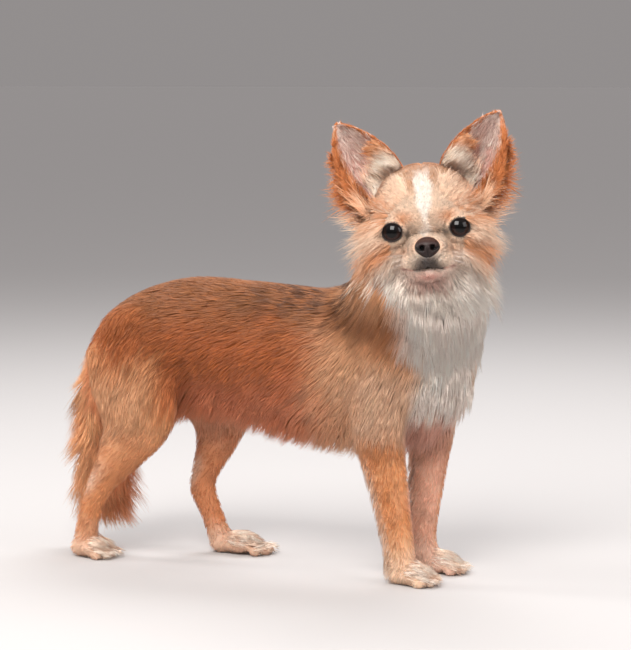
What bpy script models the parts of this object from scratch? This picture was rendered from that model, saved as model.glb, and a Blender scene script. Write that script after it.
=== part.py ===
"""Long-haired chihuahua standing at rest, its head turned to its right, as a still life-size model.

Metres, +Z up. +X is the way the dog heads, +Y is its left. The forms give the outside of the coat:
soft forms are lofted and fused, parted with thin cuts, and the long coat is added as tapered locks.
"""
import math
import random
from collections import namedtuple

import bmesh
import bpy
from mathutils import Euler, Matrix, Vector
from mathutils.bvhtree import BVHTree

GAP = 0.00035           # clear gap between two nodes
LOCK_GAP = 0.0003       # and between a lock and the nodes that it lies over
SEED = 7

# Voxel sizes of the fused forms, and the triangles that each keeps.
BODY_VOXEL = 0.0018
HEAD_VOXEL = 0.0009
BODY_TRIANGLES = 2100
HEAD_TRIANGLES = 1350

Section = namedtuple("Section", "x y z wide high")
Ball = namedtuple("Ball", "centre radii")

# Trunk from the rump to the breastbone: station, top and bottom of the outline, half width.
Station = namedtuple("Station", "x top bottom wide")
TRUNK = (
    Station(-0.132, 0.147, 0.122, 0.012),
    Station(-0.125, 0.162, 0.106, 0.024),
    Station(-0.111, 0.179, 0.098, 0.033),
    Station(-0.086, 0.196, 0.103, 0.037),
    Station(-0.055, 0.206, 0.112, 0.036),
    Station(-0.020, 0.205, 0.110, 0.035),
    Station(0.015, 0.203, 0.103, 0.037),
    Station(0.050, 0.201, 0.097, 0.040),
    Station(0.080, 0.202, 0.095, 0.041),
    Station(0.110, 0.198, 0.099, 0.038),
    Station(0.136, 0.188, 0.112, 0.031),
    Station(0.151, 0.168, 0.134, 0.014),
)

# Neck with its ruff, from inside the shoulders to the back of the skull.
NECK = (
    Section(0.094, 0.000, 0.142, 0.028, 0.034),
    Section(0.103, -0.001, 0.166, 0.036, 0.043),
    Section(0.112, -0.002, 0.186, 0.040, 0.046),
    Section(0.119, -0.004, 0.206, 0.040, 0.044),
    Section(0.121, -0.008, 0.227, 0.037, 0.039),
    Section(0.120, -0.012, 0.246, 0.030, 0.030),
)

# Limbs down their bones: joint centre, half width across and half depth along the body.
RIGHT_FORELEG = (
    Section(0.108, -0.024, 0.160, 0.017, 0.028),
    Section(0.100, -0.028, 0.128, 0.015, 0.023),
    Section(0.098, -0.029, 0.104, 0.0135, 0.0175),
    Section(0.104, -0.028, 0.076, 0.0120, 0.0145),
    Section(0.109, -0.0275, 0.050, 0.0108, 0.0122),
    Section(0.1125, -0.027, 0.028, 0.0106, 0.0108),
    Section(0.1145, -0.027, 0.010, 0.0112, 0.0110),
)
LEFT_FORELEG = (
    Section(0.112, 0.024, 0.160, 0.017, 0.028),
    Section(0.114, 0.025, 0.128, 0.015, 0.022),
    Section(0.116, 0.024, 0.104, 0.0135, 0.0160),
    Section(0.115, 0.022, 0.076, 0.0118, 0.0135),
    Section(0.1125, 0.0205, 0.050, 0.0105, 0.0118),
    Section(0.1105, 0.020, 0.028, 0.0104, 0.0106),
    Section(0.1125, 0.020, 0.010, 0.0110, 0.0110),
)
RIGHT_HINDLEG = (
    Section(-0.096, -0.022, 0.160, 0.018, 0.036),
    Section(-0.092, -0.025, 0.130, 0.017, 0.035),
    Section(-0.088, -0.028, 0.104, 0.0150, 0.0270),
    Section(-0.100, -0.029, 0.082, 0.0120, 0.0190),
    Section(-0.114, -0.0285, 0.062, 0.0098, 0.0130),
    Section(-0.124, -0.028, 0.045, 0.0086, 0.0100),
    Section(-0.131, -0.027, 0.025, 0.0086, 0.0094),
    Section(-0.134, -0.026, 0.009, 0.0095, 0.0098),
)
LEFT_HINDLEG = (
    Section(-0.080, 0.022, 0.160, 0.018, 0.036),
    Section(-0.062, 0.026, 0.130, 0.017, 0.033),
    Section(-0.052, 0.029, 0.104, 0.0150, 0.0240),
    Section(-0.055, 0.030, 0.082, 0.0120, 0.0165),
    Section(-0.063, 0.030, 0.062, 0.0098, 0.0115),
    Section(-0.066, 0.0295, 0.047, 0.0088, 0.0108),
    Section(-0.058, 0.029, 0.028, 0.0084, 0.0090),
    Section(-0.051, 0.029, 0.009, 0.0095, 0.0098),
)
# The tail's core: bone, flesh and the dense part of its coat.
TAIL = (
    Section(-0.102, 0.002, 0.166, 0.008, 0.009),
    Section(-0.124, 0.003, 0.154, 0.009, 0.010),
    Section(-0.137, 0.005, 0.130, 0.0080, 0.0100),
    Section(-0.137, 0.007, 0.100, 0.0075, 0.0120),
    Section(-0.136, 0.009, 0.072, 0.0070, 0.0175),
    Section(-0.136, 0.010, 0.048, 0.0055, 0.0190),
    Section(-0.137, 0.011, 0.032, 0.0015, 0.0060),
)

# Muscle masses that round out the trunk: shoulders, haunches and breast.
MASSES = (
    Ball((0.104, -0.026, 0.150), (0.029, 0.017, 0.042)),
    Ball((0.106, 0.026, 0.150), (0.029, 0.017, 0.042)),
    Ball((-0.094, -0.022, 0.148), (0.036, 0.019, 0.040)),
    Ball((-0.086, 0.022, 0.148), (0.036, 0.019, 0.040)),
    Ball((0.130, 0.000, 0.160), (0.027, 0.029, 0.038)),
)

# Paws: heel point on the floor, the heading in degrees from +X, and how far the toes reach.
Paw = namedtuple("Paw", "x y heading reach")
PAWS = {
    "forepaw_right": Paw(0.1135, -0.027, -4, 0.0270),
    "forepaw_left": Paw(0.1130, 0.020, 4, 0.0300),
    "hindpaw_right": Paw(-0.1350, -0.026, -3, 0.0250),
    "hindpaw_left": Paw(-0.0500, 0.029, 5, 0.0390),
}
TOE_SPREAD = 0.0066     # sideways step between two toes
TOE_RADIUS = 0.0046
TOE_HEIGHT = 0.0062
INSTEP_RADIUS = 0.0105
SOLE_SINK = 0.0012      # how much of the foot the flat sole takes off

# Head: origin midway between the eyes, x to the nose, y to the dog's left, z up.
HEAD_PLACE = Vector((0.1300, -0.0250, 0.2450))
HEAD_YAW = math.radians(-68.0)
HEAD_PITCH = math.radians(2.0)
HEAD_ROLL = math.radians(4.5)
EYE_PLACE = (0.0222, 0.0215, 0.0)
EYE_RADIUS = 0.0092
EYE_STEPS = 14
EYE_TURN = math.radians(17)
ORBIT = Ball((-0.0020, 0.0, 0.0), (0.0106, 0.0112, 0.0108))
LID_WIDE = math.radians(50)     # from the line of sight to the corners of the lids
LID_HIGH = math.radians(45)     # and to the middle of each lid
LID_PROUD = 0.0014              # how far a lid stands off the eyeball
LID_REACH = math.radians(30)    # how far a lid runs back over the eyeball
NOSE_PLACE = Vector((0.0405, 0.0, -0.0112))
NOSE_RADII = (0.0066, 0.0085, 0.0070)
NOSTRIL_SIDE = 0.0043
NOSTRIL_RADIUS = 0.0016
MOUTH_MIDDLE = Vector((0.0200, 0.0, -0.0228))
MOUTH_TURN = math.radians(80)   # how far the lips part round the muzzle to each side
MOUTH_DEPTH = 0.0013
MOUTH_OPEN = 0.0009
MOUTH_DROP = 0.0030             # how far the corners hang below the middle

HEAD_MIDDLE = (
    Ball((-0.0050, 0.0, 0.0145), (0.0350, 0.0342, 0.0295)),
    Ball((0.0090, 0.0, 0.0160), (0.0245, 0.0280, 0.0230)),
    Ball((-0.0180, 0.0, 0.0010), (0.0250, 0.0300, 0.0280)),
    Ball((0.0210, 0.0, -0.0110), (0.0190, 0.0172, 0.0112)),
    Ball((0.0335, 0.0, -0.0122), (0.0122, 0.0142, 0.0102)),
    Ball((0.0080, 0.0, -0.0195), (0.0270, 0.0225, 0.0120)),
    Ball((0.0300, 0.0, -0.0268), (0.0125, 0.0112, 0.0064)),
)
# The same on each side: cheek, brow, lip, under the eye, temple.
HEAD_SIDES = (
    Ball((0.0010, 0.0205, -0.0080), (0.0255, 0.0170, 0.0190)),
    Ball((0.0160, 0.0165, 0.0110), (0.0115, 0.0125, 0.0065)),
    Ball((0.0330, 0.0085, -0.0177), (0.0118, 0.0092, 0.0078)),
    Ball((0.0195, 0.0175, -0.0125), (0.0125, 0.0125, 0.0095)),
    Ball((0.0105, 0.0200, 0.0000), (0.0165, 0.0172, 0.0150)),
)

# Ear outlines in the head's own frame, as (y, z) on the left side, root to tip, and the cup.
EAR_INNER = ((0.010, 0.036), (0.0160, 0.0500), (0.0285, 0.0632), (0.0420, 0.0716), (0.0520, 0.0750))
EAR_OUTER = ((0.032, 0.004), (0.0470, 0.0210), (0.0555, 0.0400), (0.0585, 0.0590), (0.0560, 0.0735))
EAR_CUP = (0.0190, 0.0190, 0.0145, 0.0075, 0.0015)
EAR_SET_BACK = (-0.004, -0.003, 0.000, 0.002, 0.002)
EAR_WALL = 0.0024
EAR_ROWS = 9
EAR_COLUMNS = 7

# Planes that part the nodes: a point and the normal that faces the piece taken off.
HEAD_PLANE = (Vector((0.1150, -0.0080, 0.2230)), Vector((0.38, -0.30, 0.88)))
NECK_PLANE = (Vector((0.0950, 0.0000, 0.1850)), Vector((0.42, 0.00, 0.907)))
ELBOW_HEIGHT = 0.112
ELBOW_BACK = 0.079
ARMPIT = 0.011          # how far from the middle the foreleg's cut starts
GROIN = 0.012
THIGH_PLANE_POINT = Vector((-0.0560, 0.0, 0.1200))
THIGH_PLANE_SLOPE = math.radians(19)
FOREPAW_HEIGHT = 0.020
HINDPAW_HEIGHT = 0.018

# Locks of long hair: length, half width and half thickness, how far the tip stands off the body, how
# closely the lock hugs it, and how much it sags.
Style = namedtuple("Style", "length wide thick lift hug sag")
STYLES = {
    "coat": Style(0.044, 0.0098, 0.0024, 0.0036, 1.0, 0.10),
    "fringe": Style(0.026, 0.0066, 0.0014, 0.0020, 0.0, 0.50),
    "bib": Style(0.030, 0.0078, 0.0020, 0.0035, 0.8, 0.20),
    "ruff": Style(0.034, 0.0086, 0.0020, 0.0060, 0.5, 0.30),
    "nape": Style(0.036, 0.0090, 0.0018, 0.0034, 1.0, 0.10),
    "cheek": Style(0.031, 0.0062, 0.0016, 0.0060, 0.0, 0.50),
    "ear_fringe": Style(0.030, 0.0058, 0.0010, 0.0, 0.0, 0.60),
    "ear_base": Style(0.017, 0.0040, 0.0010, 0.0, 0.0, 0.00),
    "plume": Style(0.048, 0.0092, 0.0018, 0.0, 0.0, 0.30),
    "breeches": Style(0.028, 0.0072, 0.0018, 0.0030, 0.1, 0.35),
    "feather": Style(0.023, 0.0056, 0.0012, 0.0, 0.0, 0.45),
}
LOCK_STATIONS = (0.0, 0.38, 0.76, 1.0)
LOCK_SHAPE = (0.60, 1.00, 0.55)
LOCK_STRIDES = 4        # steps between two stations
LOCK_BEND = 0.22        # share of sag and curl that each step takes up
MOST_TWIST = 0.6        # cosine of the most that the side it looks to may turn in one step
ROOT_BACK = 0.0040      # where the root starts behind the point that it grows from
ROOT_SINK = 0.0024      # and how deep
LOWEST_LOCK = (0.0085, 0.0145)     # a lock that would hang lower bends along at a height between these

# Which node's locks lie over which others. They are cut clear of those nodes and of their locks.
LIES_OVER = {
    "neck": ("torso",),
    "head": ("neck",),
    "ear_left": ("head", "neck"),
    "ear_right": ("head", "neck"),
    "torso": ("foreleg_left", "foreleg_right", "hindleg_left", "hindleg_right"),
    "tail": ("torso", "hindleg_left", "hindleg_right"),
    "foreleg_left": ("forepaw_left",),
    "foreleg_right": ("forepaw_right",),
    "hindleg_left": ("hindpaw_left",),
    "hindleg_right": ("hindpaw_right",),
}

COLOURS = {
    "tan_coat": ((0.56, 0.30, 0.14), 0.75),
    "cream_coat": ((0.80, 0.62, 0.46), 0.75),
    "nose_leather": ((0.035, 0.02, 0.018), 0.35),
    "eye": ((0.012, 0.007, 0.005), 0.05),
}
NODE_COATS = {
    "head": "cream_coat", "neck": "cream_coat", "nose": "nose_leather",
    "eye_left": "eye", "eye_right": "eye",
    "forepaw_left": "cream_coat", "forepaw_right": "cream_coat",
    "hindpaw_left": "cream_coat", "hindpaw_right": "cream_coat",
}


def clear_scene():
    for obj in list(bpy.data.objects):
        bpy.data.objects.remove(obj, do_unlink=True)


def new_collection(name):
    collection = bpy.data.collections.new(name)
    bpy.context.scene.collection.children.link(collection)
    return collection


def make_material(name):
    colour, roughness = COLOURS[name]
    made = bpy.data.materials.get(name) or bpy.data.materials.new(name)
    made.use_nodes = True
    shader = made.node_tree.nodes["Principled BSDF"]
    shader.inputs["Base Color"].default_value = (*colour, 1.0)
    shader.inputs["Roughness"].default_value = roughness
    shader.inputs["Metallic"].default_value = 0.0
    return made


def object_from(bm, name, collection):
    mesh = bpy.data.meshes.new(name)
    bm.normal_update()
    bm.to_mesh(mesh)
    bm.free()
    obj = bpy.data.objects.new(name, mesh)
    collection.objects.link(obj)
    return obj


def apply_modifiers(obj):
    """Replaces the object's mesh with the one that its modifiers give."""
    graph = bpy.context.evaluated_depsgraph_get()
    mesh = bpy.data.meshes.new_from_object(obj.evaluated_get(graph))
    obj.modifiers.clear()
    obj.data = mesh


def smooth_path(stations, steps):
    """Catmull-Rom rows between the stations, each row the numbers of one station."""
    rows = [stations[0], *stations, stations[-1]]
    made = []
    for a, b, c, d in zip(rows, rows[1:], rows[2:], rows[3:]):
        for step in range(steps):
            t = step / steps
            made.append([
                0.5 * (2 * q + (r - p) * t + (2 * p - 5 * q + 4 * r - s) * t * t
                       + (3 * q - p - 3 * r + s) * t ** 3)
                for p, q, r, s in zip(a, b, c, d)
            ])
    made.append(list(stations[-1]))
    return made


def add_loft(bm, sections, sides=20, steps=4):
    """A closed tube of ellipses. Width runs along Y, and height across the path in its own plane."""
    rows = smooth_path(sections, steps)
    rings = []
    for index, (x, y, z, wide, high) in enumerate(rows):
        before = Vector(rows[max(index - 1, 0)][:3])
        after = Vector(rows[min(index + 1, len(rows) - 1)][:3])
        along = (after - before).normalized()
        across = Vector((0, 1, 0))
        over = along.cross(across).normalized()
        ring = []
        for side in range(sides):
            angle = 2 * math.pi * side / sides
            offset = across * (wide * math.cos(angle)) + over * (high * math.sin(angle))
            ring.append(bm.verts.new(Vector((x, y, z)) + offset))
        rings.append(ring)
    for low, up in zip(rings, rings[1:]):
        for side in range(sides):
            other = (side + 1) % sides
            bm.faces.new((low[side], low[other], up[other], up[side]))
    bm.faces.new(reversed(rings[0]))
    bm.faces.new(rings[-1])


def add_ball(bm, ball, place=Matrix.Identity(4)):
    scale = Matrix.Diagonal((*ball.radii, 1.0))
    matrix = place @ Matrix.Translation(ball.centre) @ scale
    bmesh.ops.create_uvsphere(bm, u_segments=24, v_segments=14, radius=1.0, matrix=matrix)


def fuse(bm, name, collection, voxel, rounds):
    """Joins overlapping closed forms into one skin of even quads and rounds it."""
    bmesh.ops.recalc_face_normals(bm, faces=bm.faces[:])
    obj = object_from(bm, name, collection)
    remesh = obj.modifiers.new("fuse", "REMESH")
    remesh.mode = "VOXEL"
    remesh.voxel_size = voxel
    rounding = obj.modifiers.new("round", "SMOOTH")
    rounding.factor = 0.5
    rounding.iterations = rounds
    apply_modifiers(obj)
    return obj


def keep_side(obj, point, normal):
    """Cuts the closed mesh by a plane, keeps the side that the normal faces and caps the cut."""
    bm = bmesh.new()
    bm.from_mesh(obj.data)
    everything = bm.verts[:] + bm.edges[:] + bm.faces[:]
    cut = bmesh.ops.bisect_plane(bm, geom=everything, dist=1e-7, plane_co=point, plane_no=normal,
                                 clear_inner=True)
    edges = [e for e in cut["geom_cut"] if isinstance(e, bmesh.types.BMEdge)]
    bmesh.ops.contextual_create(bm, geom=edges)
    bmesh.ops.triangulate(bm, faces=[f for f in bm.faces if len(f.verts) > 4])
    bm.to_mesh(obj.data)
    bm.free()


def thin_out(obj, triangles):
    """Decimates to about that many triangles."""
    faces = sum(len(p.vertices) - 2 for p in obj.data.polygons)
    fewer = obj.modifiers.new("fewer", "DECIMATE")
    fewer.ratio = min(1.0, triangles / faces)
    fewer.use_collapse_triangulate = True
    apply_modifiers(obj)


def keep_largest(obj):
    """Drops every loose surface but the one with the largest volume."""
    bm = bmesh.new()
    bm.from_mesh(obj.data)
    unseen = set(bm.faces)
    shells = []
    while unseen:
        stack = [unseen.pop()]
        shell = []
        while stack:
            face = stack.pop()
            shell.append(face)
            for edge in face.edges:
                for other in edge.link_faces:
                    if other in unseen:
                        unseen.remove(other)
                        stack.append(other)
        shells.append(shell)
    if len(shells) > 1:
        def volume(shell):
            total = 0.0
            for face in shell:
                first = face.verts[0].co
                for second, third in zip(face.verts[1:], face.verts[2:]):
                    total += first.dot(second.co.cross(third.co))
            return total
        shells.sort(key=volume)
        loose = [face for shell in shells[:-1] for face in shell]
        bmesh.ops.delete(bm, geom=loose, context="FACES")
        lone = [v for v in bm.verts if not v.link_faces]
        bmesh.ops.delete(bm, geom=lone, context="VERTS")
    bm.to_mesh(obj.data)
    bm.free()


def combine(obj, others, operation, solver="EXACT"):
    """One Boolean of the object with a collection of closed meshes, applied, and the collection's objects removed."""
    group = bpy.data.collections.new("operands")
    bpy.context.scene.collection.children.link(group)
    for other in others:
        for holder in list(other.users_collection):
            holder.objects.unlink(other)
        group.objects.link(other)
    boolean = obj.modifiers.new(operation.lower(), "BOOLEAN")
    boolean.operation = operation
    boolean.operand_type = "COLLECTION"
    boolean.collection = group
    boolean.solver = solver
    apply_modifiers(obj)
    for other in others:
        bpy.data.objects.remove(other, do_unlink=True)
    bpy.data.collections.remove(group)
    keep_largest(obj)


def cutter_box(name, low, high, collection, place=Matrix.Identity(4)):
    bm = bmesh.new()
    middle = (Vector(low) + Vector(high)) / 2
    size = Vector(high) - Vector(low)
    matrix = place @ Matrix.Translation(middle) @ Matrix.Diagonal((*size, 1.0))
    bmesh.ops.create_cube(bm, size=1.0, matrix=matrix)
    box = object_from(bm, name, collection)
    box.hide_render = True
    box.display_type = "WIRE"
    return box


def duplicate(obj, name, collection):
    copy = bpy.data.objects.new(name, obj.data.copy())
    copy.matrix_world = obj.matrix_world
    collection.objects.link(copy)
    return copy


def grown(obj, collection, by=GAP):
    """A copy of a closed mesh, swollen along its normals, to cut a neighbour with."""
    copy = duplicate(obj, obj.name + "_grown", collection)
    swell = copy.modifiers.new("swell", "DISPLACE")
    swell.strength = by
    swell.mid_level = 0.0
    apply_modifiers(copy)
    copy.hide_render = True
    copy.display_type = "WIRE"
    return copy


def surface_of(obj):
    return BVHTree.FromObject(obj, bpy.context.evaluated_depsgraph_get())


def head_matrix():
    turn = Euler((HEAD_ROLL, HEAD_PITCH, HEAD_YAW), "XYZ").to_matrix().to_4x4()
    return Matrix.Translation(HEAD_PLACE) @ turn


def eye_matrix(side):
    """The eye's place in the world: x looks out of the pupil. Side is 1 on the dog's left."""
    x, y, z = EYE_PLACE
    turn = Matrix.Rotation(EYE_TURN * side, 4, "Z")
    return head_matrix() @ Matrix.Translation((x, y * side, z)) @ turn


def trunk_sections():
    return [Section(s.x, 0.0, (s.top + s.bottom) / 2, s.wide, (s.top - s.bottom) / 2) for s in TRUNK]


def paw_matrix(paw):
    return Matrix.Translation((paw.x, paw.y, 0.0)) @ Matrix.Rotation(math.radians(paw.heading), 4, "Z")


def toe_places(paw):
    """Knuckle and tip of each of the four toes, the middle two longest, in the paw's own frame."""
    places = []
    for step in (-1.5, -0.5, 0.5, 1.5):
        reach = paw.reach * (1.0 if abs(step) < 1 else 0.86)
        side = step * TOE_SPREAD
        places.append((Vector((reach * 0.45, side * 0.85, TOE_HEIGHT + 0.0015)),
                       Vector((reach - TOE_RADIUS, side * 1.05, TOE_HEIGHT * 0.72))))
    return places


def add_paw(bm, paw):
    place = paw_matrix(paw)
    heel = Ball((0.0005, 0.0, 0.0075), (INSTEP_RADIUS, 0.0108, 0.0085))
    instep = Ball((paw.reach * 0.30, 0.0, 0.0085), (paw.reach * 0.42, 0.0115, 0.0088))
    add_ball(bm, heel, place)
    add_ball(bm, instep, place)
    for knuckle, tip in toe_places(paw):
        add_ball(bm, Ball(knuckle, (paw.reach * 0.30, TOE_RADIUS, TOE_RADIUS * 1.25)), place)
        add_ball(bm, Ball(tip, (TOE_RADIUS * 1.25, TOE_RADIUS, TOE_RADIUS)), place)


def add_body(bm):
    add_loft(bm, trunk_sections(), sides=28)
    add_loft(bm, NECK, sides=24)
    for leg in (RIGHT_FORELEG, LEFT_FORELEG, RIGHT_HINDLEG, LEFT_HINDLEG):
        add_loft(bm, leg)
    for mass in MASSES:
        add_ball(bm, mass)
    for paw in PAWS.values():
        add_paw(bm, paw)


def add_head(bm):
    place = head_matrix()
    for ball in HEAD_MIDDLE:
        add_ball(bm, ball, place)
    for ball in HEAD_SIDES:
        x, y, z = ball.centre
        for side in (1, -1):
            add_ball(bm, Ball((x, y * side, z), ball.radii), place)
    for side in (1, -1):
        add_ball(bm, ORBIT, eye_matrix(side))


def eye_ball(side, radius, name, collection):
    bm = bmesh.new()
    matrix = eye_matrix(side) @ Matrix.Rotation(math.pi / 2, 4, "Y")
    bmesh.ops.create_uvsphere(bm, u_segments=EYE_STEPS, v_segments=7, radius=radius, matrix=matrix)
    return object_from(bm, name, collection)


def lid_point(turn, spread, radius):
    """A point over the eyeball: spread leans from the line of sight, turn goes round it from the corner."""
    lean = spread + LID_HIGH + (LID_WIDE - LID_HIGH) * math.cos(turn) ** 2
    return Vector((math.cos(lean), math.sin(lean) * math.cos(turn), math.sin(lean) * math.sin(turn))) * radius


def eye_opening(side, collection):
    """A cone from inside the eyeball out through the lids."""
    bm = bmesh.new()
    place = eye_matrix(side)
    rings = []
    for radius in (EYE_RADIUS * 0.5, EYE_RADIUS * 2):
        rings.append([bm.verts.new(place @ lid_point(2 * math.pi * step / EYE_STEPS, 0.0, radius))
                      for step in range(EYE_STEPS)])
    bridge_rings(bm, rings)
    caps = [bm.faces.new(rings[0]), bm.faces.new(rings[-1])]
    bmesh.ops.triangulate(bm, faces=caps)
    bmesh.ops.recalc_face_normals(bm, faces=bm.faces[:])
    return object_from(bm, "opening", collection)


def lids(side, collection):
    """Both lids of an eye as one ring, whose inner side the socket trims."""
    profile = (
        (0.00, EYE_RADIUS - 0.0004),
        (-0.04, EYE_RADIUS + LID_PROUD * 0.55),
        (0.06, EYE_RADIUS + LID_PROUD),
        (0.45, EYE_RADIUS + LID_PROUD * 0.9),
        (1.00, EYE_RADIUS - 0.0002),
        (0.90, EYE_RADIUS - 0.0016),
    )
    bm = bmesh.new()
    place = eye_matrix(side)
    rings = []
    for share, radius in profile:
        rings.append([bm.verts.new(place @ lid_point(2 * math.pi * step / EYE_STEPS, share * LID_REACH, radius))
                      for step in range(EYE_STEPS)])
    bridge_rings(bm, rings + rings[:1])
    bmesh.ops.recalc_face_normals(bm, faces=bm.faces[:])
    return object_from(bm, "lids", collection)


def bridge_rings(bm, rings):
    for low, up in zip(rings, rings[1:]):
        for step, (a, b) in enumerate(zip(low, up)):
            other = (step + 1) % len(low)
            bm.faces.new((a, low[other], up[other], b))


def nose_form(name, collection, swell=0.0):
    place = head_matrix() @ Matrix.Translation(NOSE_PLACE)
    radii = Vector(NOSE_RADII) + Vector((swell,) * 3)
    bm = bmesh.new()
    bmesh.ops.create_uvsphere(bm, u_segments=14, v_segments=9, radius=1.0,
                              matrix=place @ Matrix.Diagonal((*radii, 1.0)))
    return object_from(bm, name, collection)


def make_nose(collection):
    """The nose leather with its two nostrils and the groove between them."""
    place = head_matrix() @ Matrix.Translation(NOSE_PLACE)
    nose = nose_form("nose", collection)
    cutters = []
    for side in (1, -1):
        bm = bmesh.new()
        spot = Vector((NOSE_RADII[0] * 0.72, NOSTRIL_SIDE * side, -0.0008))
        turn = Euler((0, math.radians(80), math.radians(28) * side)).to_matrix().to_4x4()
        bmesh.ops.create_cone(bm, cap_ends=True, segments=7, radius1=NOSTRIL_RADIUS * 0.6,
                              radius2=NOSTRIL_RADIUS, depth=0.006,
                              matrix=place @ Matrix.Translation(spot) @ turn)
        cutters.append(object_from(bm, "nostril", collection))
    groove_depth = 0.0012
    cutters.append(cutter_box("groove", (NOSE_RADII[0] - groove_depth, -0.0004, -0.0080),
                              (NOSE_RADII[0] + 0.004, 0.0004, 0.0010), collection, place))
    combine(nose, cutters, "DIFFERENCE")
    return nose


def mouth_cutter(head, collection):
    """A wedge between the closed lips, of one depth all round the muzzle."""
    surface = surface_of(head)
    place = head_matrix()
    turn_only = place.to_3x3()
    bm = bmesh.new()
    rows = []
    steps = 12
    for step in range(steps + 1):
        share = 2 * step / steps - 1
        turn = share * MOUTH_TURN
        drop = -MOUTH_DROP * share * share + 0.0007 * math.cos(share * math.pi * 3)
        middle = MOUTH_MIDDLE + Vector((0, 0, drop))
        outward = Vector((math.cos(turn), math.sin(turn), 0.0))
        hit = surface.ray_cast(place @ (middle + outward * 0.04), turn_only @ -outward)[0]
        out = (place.inverted() @ hit - middle).dot(outward)
        shallow = MOUTH_DEPTH * (1 - 0.6 * abs(share) ** 3)
        row = []
        for reach, height in ((out - shallow, -0.2), (out - shallow, 0.2), (out + 0.002, 1.3), (out + 0.002, -1.3)):
            row.append(bm.verts.new(place @ (middle + outward * reach + Vector((0, 0, height * MOUTH_OPEN)))))
        rows.append(row)
    bridge_rings(bm, rows)
    bm.faces.new(rows[0])
    bm.faces.new(rows[-1])
    bmesh.ops.recalc_face_normals(bm, faces=bm.faces[:])
    return object_from(bm, "mouth_line", collection)


def ear_outline(points, t):
    """A point at t, from 0 at the root to 1 at the tip, on a smooth curve through the points."""
    spread = smooth_path(points, 8)
    index = t * (len(spread) - 1)
    low = min(int(index), len(spread) - 2)
    share = index - low
    return [a + (b - a) * share for a, b in zip(spread[low], spread[low + 1])]


def ear_point(side, s, t):
    """The middle sheet of the ear: s is -1 at the inner edge and 1 at the outer one, t runs to the tip."""
    inner = ear_outline(EAR_INNER, t)
    outer = ear_outline(EAR_OUTER, t)
    cup = ear_outline([(c,) for c in EAR_CUP], t)[0]
    back = ear_outline([(b,) for b in EAR_SET_BACK], t)[0]
    share = (s + 1) / 2
    y = inner[0] + (outer[0] - inner[0]) * share
    z = inner[1] + (outer[1] - inner[1]) * share
    x = back - cup * (1 - s * s) - 0.003 * share
    return head_matrix() @ Vector((x, y * side, z))


def make_ear(side, name, collection):
    bm = bmesh.new()
    grid = []
    for row in range(EAR_ROWS):
        t = row / (EAR_ROWS - 1)
        grid.append([bm.verts.new(ear_point(side, 2 * c / (EAR_COLUMNS - 1) - 1, t))
                     for c in range(EAR_COLUMNS)])
    for low, up in zip(grid, grid[1:]):
        for a, b, c, d in zip(low, low[1:], up[1:], up):
            bm.faces.new((a, b, c, d) if side > 0 else (d, c, b, a))
    bmesh.ops.triangulate(bm, faces=bm.faces[:])
    ear = object_from(bm, name, collection)
    wall = ear.modifiers.new("wall", "SOLIDIFY")
    wall.thickness = EAR_WALL
    wall.offset = 0.0
    apply_modifiers(ear)
    return ear


def across_from(along, outward):
    return along.cross(outward).normalized()


def lay_lock(surface, root, along, style, curl, lowest, face=None):
    """Stations down a lock that grows at the root and lies over the surface: place, heading, outward.

    It bends along at the lowest height. Face is the way that its flat side looks where the surface doesn't
    say it."""
    place, outward, _, _ = surface.find_nearest(root)
    outward = face or outward
    along = (along - outward * along.dot(outward)).normalized()
    sink = 0.0 if face else ROOT_SINK
    stations = [(place - along * ROOT_BACK - outward * sink, along, outward)]
    for before, share in zip(LOCK_STATIONS, LOCK_STATIONS[1:]):
        stride = (share - before) * style.length / LOCK_STRIDES
        for _ in range(LOCK_STRIDES):
            turn = across_from(along, outward) * curl + Vector((0, 0, -style.sag))
            along = (along + turn * LOCK_BEND).normalized()
            place = place + along * stride
            if place.z < lowest and along.z < 0:
                along = Vector((along.x, along.y, 0.0)).normalized()
                place.z = lowest
            if face is None:
                near, normal, _, _ = surface.find_nearest(place)
                if normal.dot(outward) > MOST_TWIST:
                    outward = normal
                height = (place - near).dot(outward)
                wanted = style.lift * share
                pull = 1.0 if height < wanted else style.hug
                place = place + outward * (wanted - height) * pull
        flat = (outward - along * outward.dot(along)).normalized()
        stations.append((place, along, flat))
    return stations


def lock_object(stations, style, size, collection, swell=0.0):
    """The closed solid of a lock: flat beneath, ridged above, widest near its root, pointed at its tip."""
    bm = bmesh.new()
    rings = []
    for (place, along, outward), share in zip(stations, LOCK_SHAPE):
        across = across_from(along, outward) * (style.wide * size * share + swell * 2)
        top = place + outward * (style.thick * share + swell)
        base = place - outward * (style.thick * share / 2 + swell)
        rings.append([bm.verts.new(spot) for spot in (base + across, top, base - across)])
    bridge_rings(bm, rings)
    bm.faces.new(rings[0])
    tip = bm.verts.new(stations[-1][0] + stations[-1][1] * swell * 2)
    for a, b in zip(rings[-1], rings[-1][1:] + rings[-1][:1]):
        bm.faces.new((a, b, tip))
    bmesh.ops.triangulate(bm, faces=bm.faces[:])
    bmesh.ops.recalc_face_normals(bm, faces=bm.faces[:])
    return object_from(bm, "lock", collection)


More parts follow.
